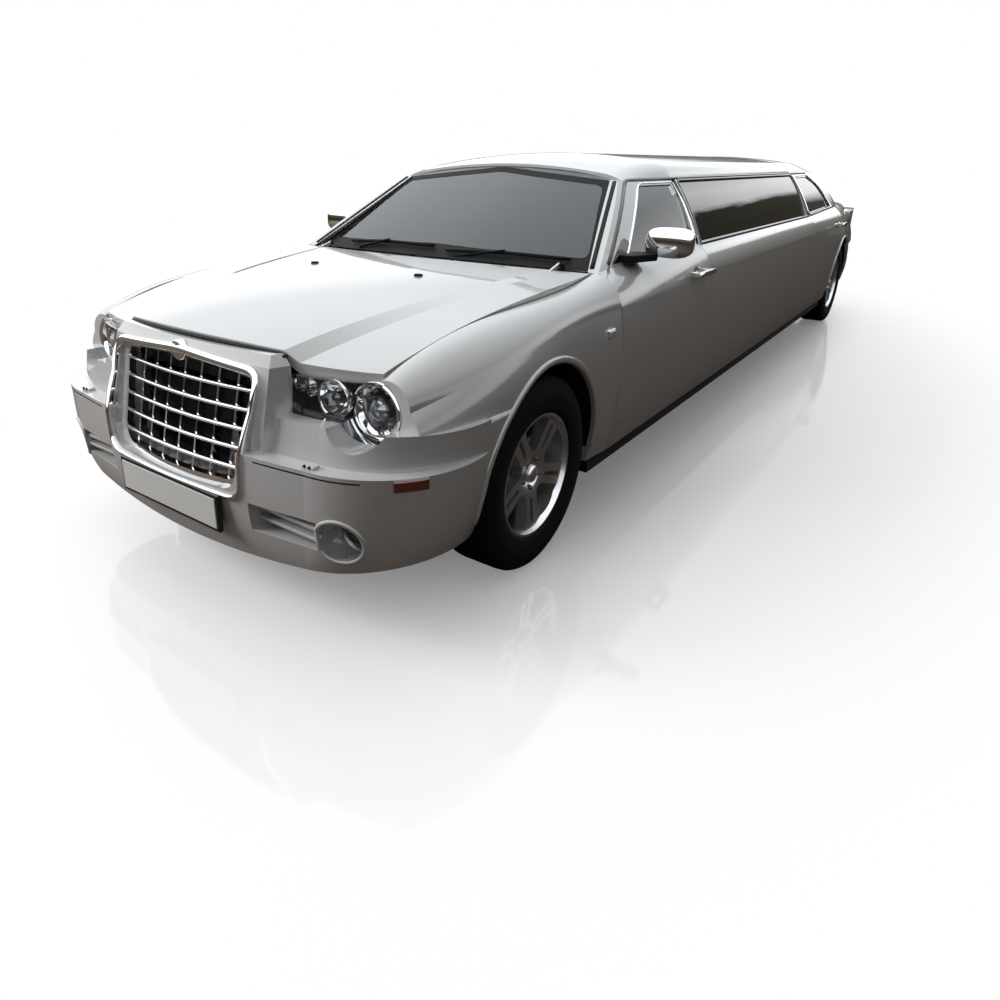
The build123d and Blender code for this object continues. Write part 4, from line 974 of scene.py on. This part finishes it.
def cushion(name, centre, wide, long, crown, channels):
    """A crowned pad, sewn across at some places. Its half sizes are vectors."""
    rows, columns = 28, 20
    centre, wide, long, crown = (Vector(v) for v in (centre, wide, long, crown))
    verts, faces = [], []
    for top in (True, False):
        faces += quads(rows + 1, columns + 1, len(verts))
        for i in range(rows + 1):
            v = -1 + 2 * i / rows
            sewn = sum(exp(-((v - c) / 0.045) ** 2) for c in channels)
            for k in range(columns + 1):
                u = -1 + 2 * k / columns
                edge = max(0.0, (1 - u ** 6) * (1 - v ** 6))
                if top:
                    rise = edge ** 0.42 * (1 - 0.22 * sewn) * (1 - 0.1 * (u * u + v * v))
                else:
                    rise = -min(1.0, 5 * edge) * 0.7
                flat = wide * u * (1 - 0.03 * (1 - v * v)) + long * v * (1 - 0.03 * (1 - u * u))
                verts.append(centre + flat + crown * rise)
    obj = piece(name, verts, faces, LEATHER)
    weld = bmesh.new()
    weld.from_mesh(obj.data)
    bmesh.ops.remove_doubles(weld, verts=weld.verts, dist=1e-5)
    bmesh.ops.recalc_face_normals(weld, faces=weld.faces)
    weld.to_mesh(obj.data)
    weld.free()


def leaning(degrees):
    """The way up and the way out of a seat's back."""
    a = radians(degrees)
    return Vector((0, sin(a), cos(a))), Vector((0, -cos(a), sin(a)))


def seats():
    up, out = leaning(14)
    for name, s in SIDES:
        x = s * 0.37
        cushion(f"front_cushion_{name}", (x, y_of(1.315), 0.472), (0.245, 0, 0), (0, 0.25, 0), (0, 0, 0.045),
                (-0.5, 0.0, 0.5))
        middle = Vector((x, y_of(1.66), 0.69)) + out * 0.062
        cushion(f"front_back_{name}", middle, (0.228, 0, 0), up * 0.295, out * 0.04, (-0.55, -0.1, 0.35))
    up, out = leaning(16)
    for k in range(3):
        x = 0.44 * (k - 1)
        cushion(f"rear_cushion_{k}", (x, y_of(4.742), 0.478), (0.214, 0, 0), (0, 0.138, 0), (0, 0, 0.04), (0.0,))
        middle = Vector((x, y_of(5.04), 0.77)) + out * 0.062
        cushion(f"rear_back_{k}", middle, (0.214, 0, 0), up * 0.262, out * 0.04, (-0.3, 0.3))
    up, out = Vector((-0.071, 0, 0.9975)), Vector((0.9975, 0, 0.071))
    for k in range(4):
        y = y_of(2.385 + 0.61 * k)
        cushion(f"bench_cushion_{k}", (-0.482, y, 0.462), (0, 0.295, 0), (0.15, 0, 0), (0, 0, 0.04), (0.0,))
        middle = Vector((-0.655, y, 0.7)) - out * 0.008
        cushion(f"bench_back_{k}", middle, (0, 0.295, 0), up * 0.185, out * 0.036, (0.0,))


# Cabin

def cabin():
    roof = skin_of("roof")
    rows, columns, verts = 26, 13, []
    for i in range(rows):
        y = y_of(1.24 + (5.26 - 1.24) * i / (rows - 1))
        for k in range(columns):
            x = -0.56 + 1.12 * k / (columns - 1)
            hit = cast(roof, (x, y, 1.0), (0, 0, 1))
            verts.append(hit[0] - Vector((0, 0, 0.006)) if hit else Vector((x, y, 1.36)))
    piece("headlining", verts, quads(rows, columns), FABRIC)
    block("dash_pad", (0.0, 0.735), (0.646, 0.74), (0.935, 0.968), BLACK, edge=0.01)
    block("mirror_inside", (0.0, 0.12), (1.055, 1.075), (1.27, 1.335), GLOSS, edge=0.012)
    for name, s in SIDES:
        block(f"visor_{name}", (s * 0.33, 0.19), (1.2, 1.33), (1.335, 1.35), FABRIC, edge=0.006)
    block("console", (0.0, 0.1), (0.99, 1.62), (0.245, 0.5), BLACK, edge=0.015)
    rod("shift_lever", [(0, y_of(1.12), 0.5), (0, y_of(1.13), 0.6)], 0.012, CHROME)
    block("carpet", (0.0, 0.8), (0.66, 5.12), (0.2455, 0.25), FABRIC, edge=0.0)


for make in (side_windows, handles, arches, mirrors, drip_rails, screens, wipers, front_details, headlamps, wheels,
             brakes, rear_details, lamp_fairings, linings, boot_tray, seats, cabin):
    make()


# Studio

def mixed(tree, mask, a, b):
    return put(tree, "MixShader", Fac=mask, _1=a, _2=b)


def smooth_step(tree, value, low, high):
    return put(tree, "MapRange", {"interpolation_type": "SMOOTHSTEP"},
               Value=value, _1=low, _2=high)


def floor():
    """White where the camera sees it, and a warm grey ground to the car."""
    size = 90.0
    mesh = bpy.data.meshes.new("floor")
    mesh.from_pydata([(-size, -size, 0), (size, -size, 0), (size, size, 0), (-size, size, 0)], [], [(0, 1, 2, 3)])
    obj = link(bpy.data.objects.new("floor", mesh))
    mat, tree = begin("floor_finish")
    g = grain(tree, 12.0, 0.01)
    white = blend(tree, g.outputs["Tone"], (0.92,) * 3, (0.94,) * 3)
    ground = blend(tree, g.outputs["Tone"], (0.13, 0.102, 0.082), (0.165, 0.13, 0.106))
    matt = put(tree, "BsdfPrincipled", Base_Color=white, Roughness=0.5, Emission_Color=WHITE,
               Emission_Strength=0.15)
    mirror = put(tree, "BsdfGlossy", Color=WHITE, Roughness=0.06)
    near = mixed(tree, 0.09, matt, mirror)
    far = put(tree, "Emission", Color=WHITE, Strength=1.0)
    where = put(tree, "NewGeometry").outputs["Position"]
    squeezed = put(tree, "VectorMath", {"operation": "MULTIPLY"}, _0=where, _1=(1.0, 0.5, 1.0))
    away = put(tree, "VectorMath", {"operation": "LENGTH"}, _0=squeezed)
    seen = mixed(tree, smooth_step(tree, away.outputs["Value"], 1.4, 2.8), near, far)
    under = put(tree, "BsdfDiffuse", Color=ground)
    ray = put(tree, "LightPath")
    close(tree, mixed(tree, ray.outputs["Is Camera Ray"], under, seen))
    mesh.materials.append(mat)


def sky(tree, strength, level, *bands):
    """Light from all round, by height: each band is a place on the ramp and its colour."""
    ramp = put(tree, "ValToRGB", Fac=level)
    marks = ramp.color_ramp.elements
    marks.remove(marks[1])
    marks[0].position, marks[0].color = bands[0][0], (*bands[0][1], 1.0)
    for place, colour in bands[1:]:
        marks.new(place).color = (*colour, 1.0)
    return put(tree, "Background", Color=ramp, Strength=strength)


def surroundings():
    """White behind the car, a soft sky to light it, and a sky over trees for reflections."""
    world = bpy.data.worlds.new("studio")
    bpy.context.scene.world = world
    world.use_nodes = True
    tree = world.node_tree
    tree.nodes.clear()
    ray = put(tree, "LightPath")
    where = put(tree, "TexCoord").outputs["Generated"]
    height = axis_of(tree, where, "Z")
    row = smooth_step(tree, axis_of(tree, where, "Y"), 0.9, 0.96)
    near_side = smooth_step(tree, axis_of(tree, where, "X"), 0.05, 0.22)
    crowns = put(tree, "TexNoise", Vector=where, Scale=9.0, Detail=5.0, Roughness=0.6)
    lift = row
    for factor in (near_side, crowns, 0.3):
        lift = math_node(tree, "MULTIPLY", lift, factor)
    over_trees = math_node(tree, "SUBTRACT", height, lift)
    soft = sky(tree, 0.4, height, (0.0, (0.07, 0.062, 0.055)), (0.3, (0.27, 0.275, 0.28)),
               (0.62, (0.6, 0.61, 0.62)), (0.85, (0.97, 0.98, 1.0)))
    mirrored_sky = sky(tree, 4.0, over_trees, (0.0, (0.022, 0.02, 0.015)), (0.075, (0.026, 0.027, 0.02)),
                       (0.115, (0.43, 0.44, 0.44)), (0.2, (0.5, 0.51, 0.52)), (0.36, (0.31, 0.325, 0.335)),
                       (0.75, (0.56, 0.59, 0.61)))
    around = mixed(tree, ray.outputs["Is Glossy Ray"], soft, mirrored_sky)
    seen = put(tree, "Background", Color=WHITE, Strength=1.0)
    mix = mixed(tree, ray.outputs["Is Camera Ray"], around, seen)
    put(tree, "OutputWorld", Surface=mix)


def lights():
    for name, place, target, width, depth, power in (
            ("key", (-8.0, -8.5, 5.5), (0.0, -1.5, 0.5), 5.0, 4.0, 980.0),
            ("top", (0.0, 0.0, 7.5), (0.0, 0.0, 0.0), 3.0, 10.0, 105.0)):
        light = bpy.data.lights.new(name, "AREA")
        light.shape = "RECTANGLE"
        light.size, light.size_y, light.energy = width, depth, power
        lamp = link(bpy.data.objects.new(name, light))
        lamp.location = place
        lamp.visible_glossy = False
        lamp.rotation_euler = (Vector(target) - Vector(place)).to_track_quat("-Z", "Y").to_euler()


def camera():
    """The view that was fitted to the photograph."""
    data = bpy.data.cameras.new("camera")
    data.sensor_width = 36.0
    data.lens = 25.851
    data.shift_x, data.shift_y = 0.063, -0.0793
    data.clip_end = 300.0
    cam = link(bpy.data.objects.new("camera", data))
    # its columns are the ways to the right, up and back, and the place
    cam.matrix_world = Matrix((
        (0.7985971, -0.2097344, 0.5641402, 2.0231), (0.6018305, 0.268098, -0.7522788, y_of(-2.1068)),
        (0.0065339, 0.9402845, 0.3403269, 1.4234), (0.0, 0.0, 0.0, 1.0)))
    bpy.context.scene.camera = cam


floor()
surroundings()
lights()
camera()
bpy.context.scene.view_settings.view_transform = "Standard"
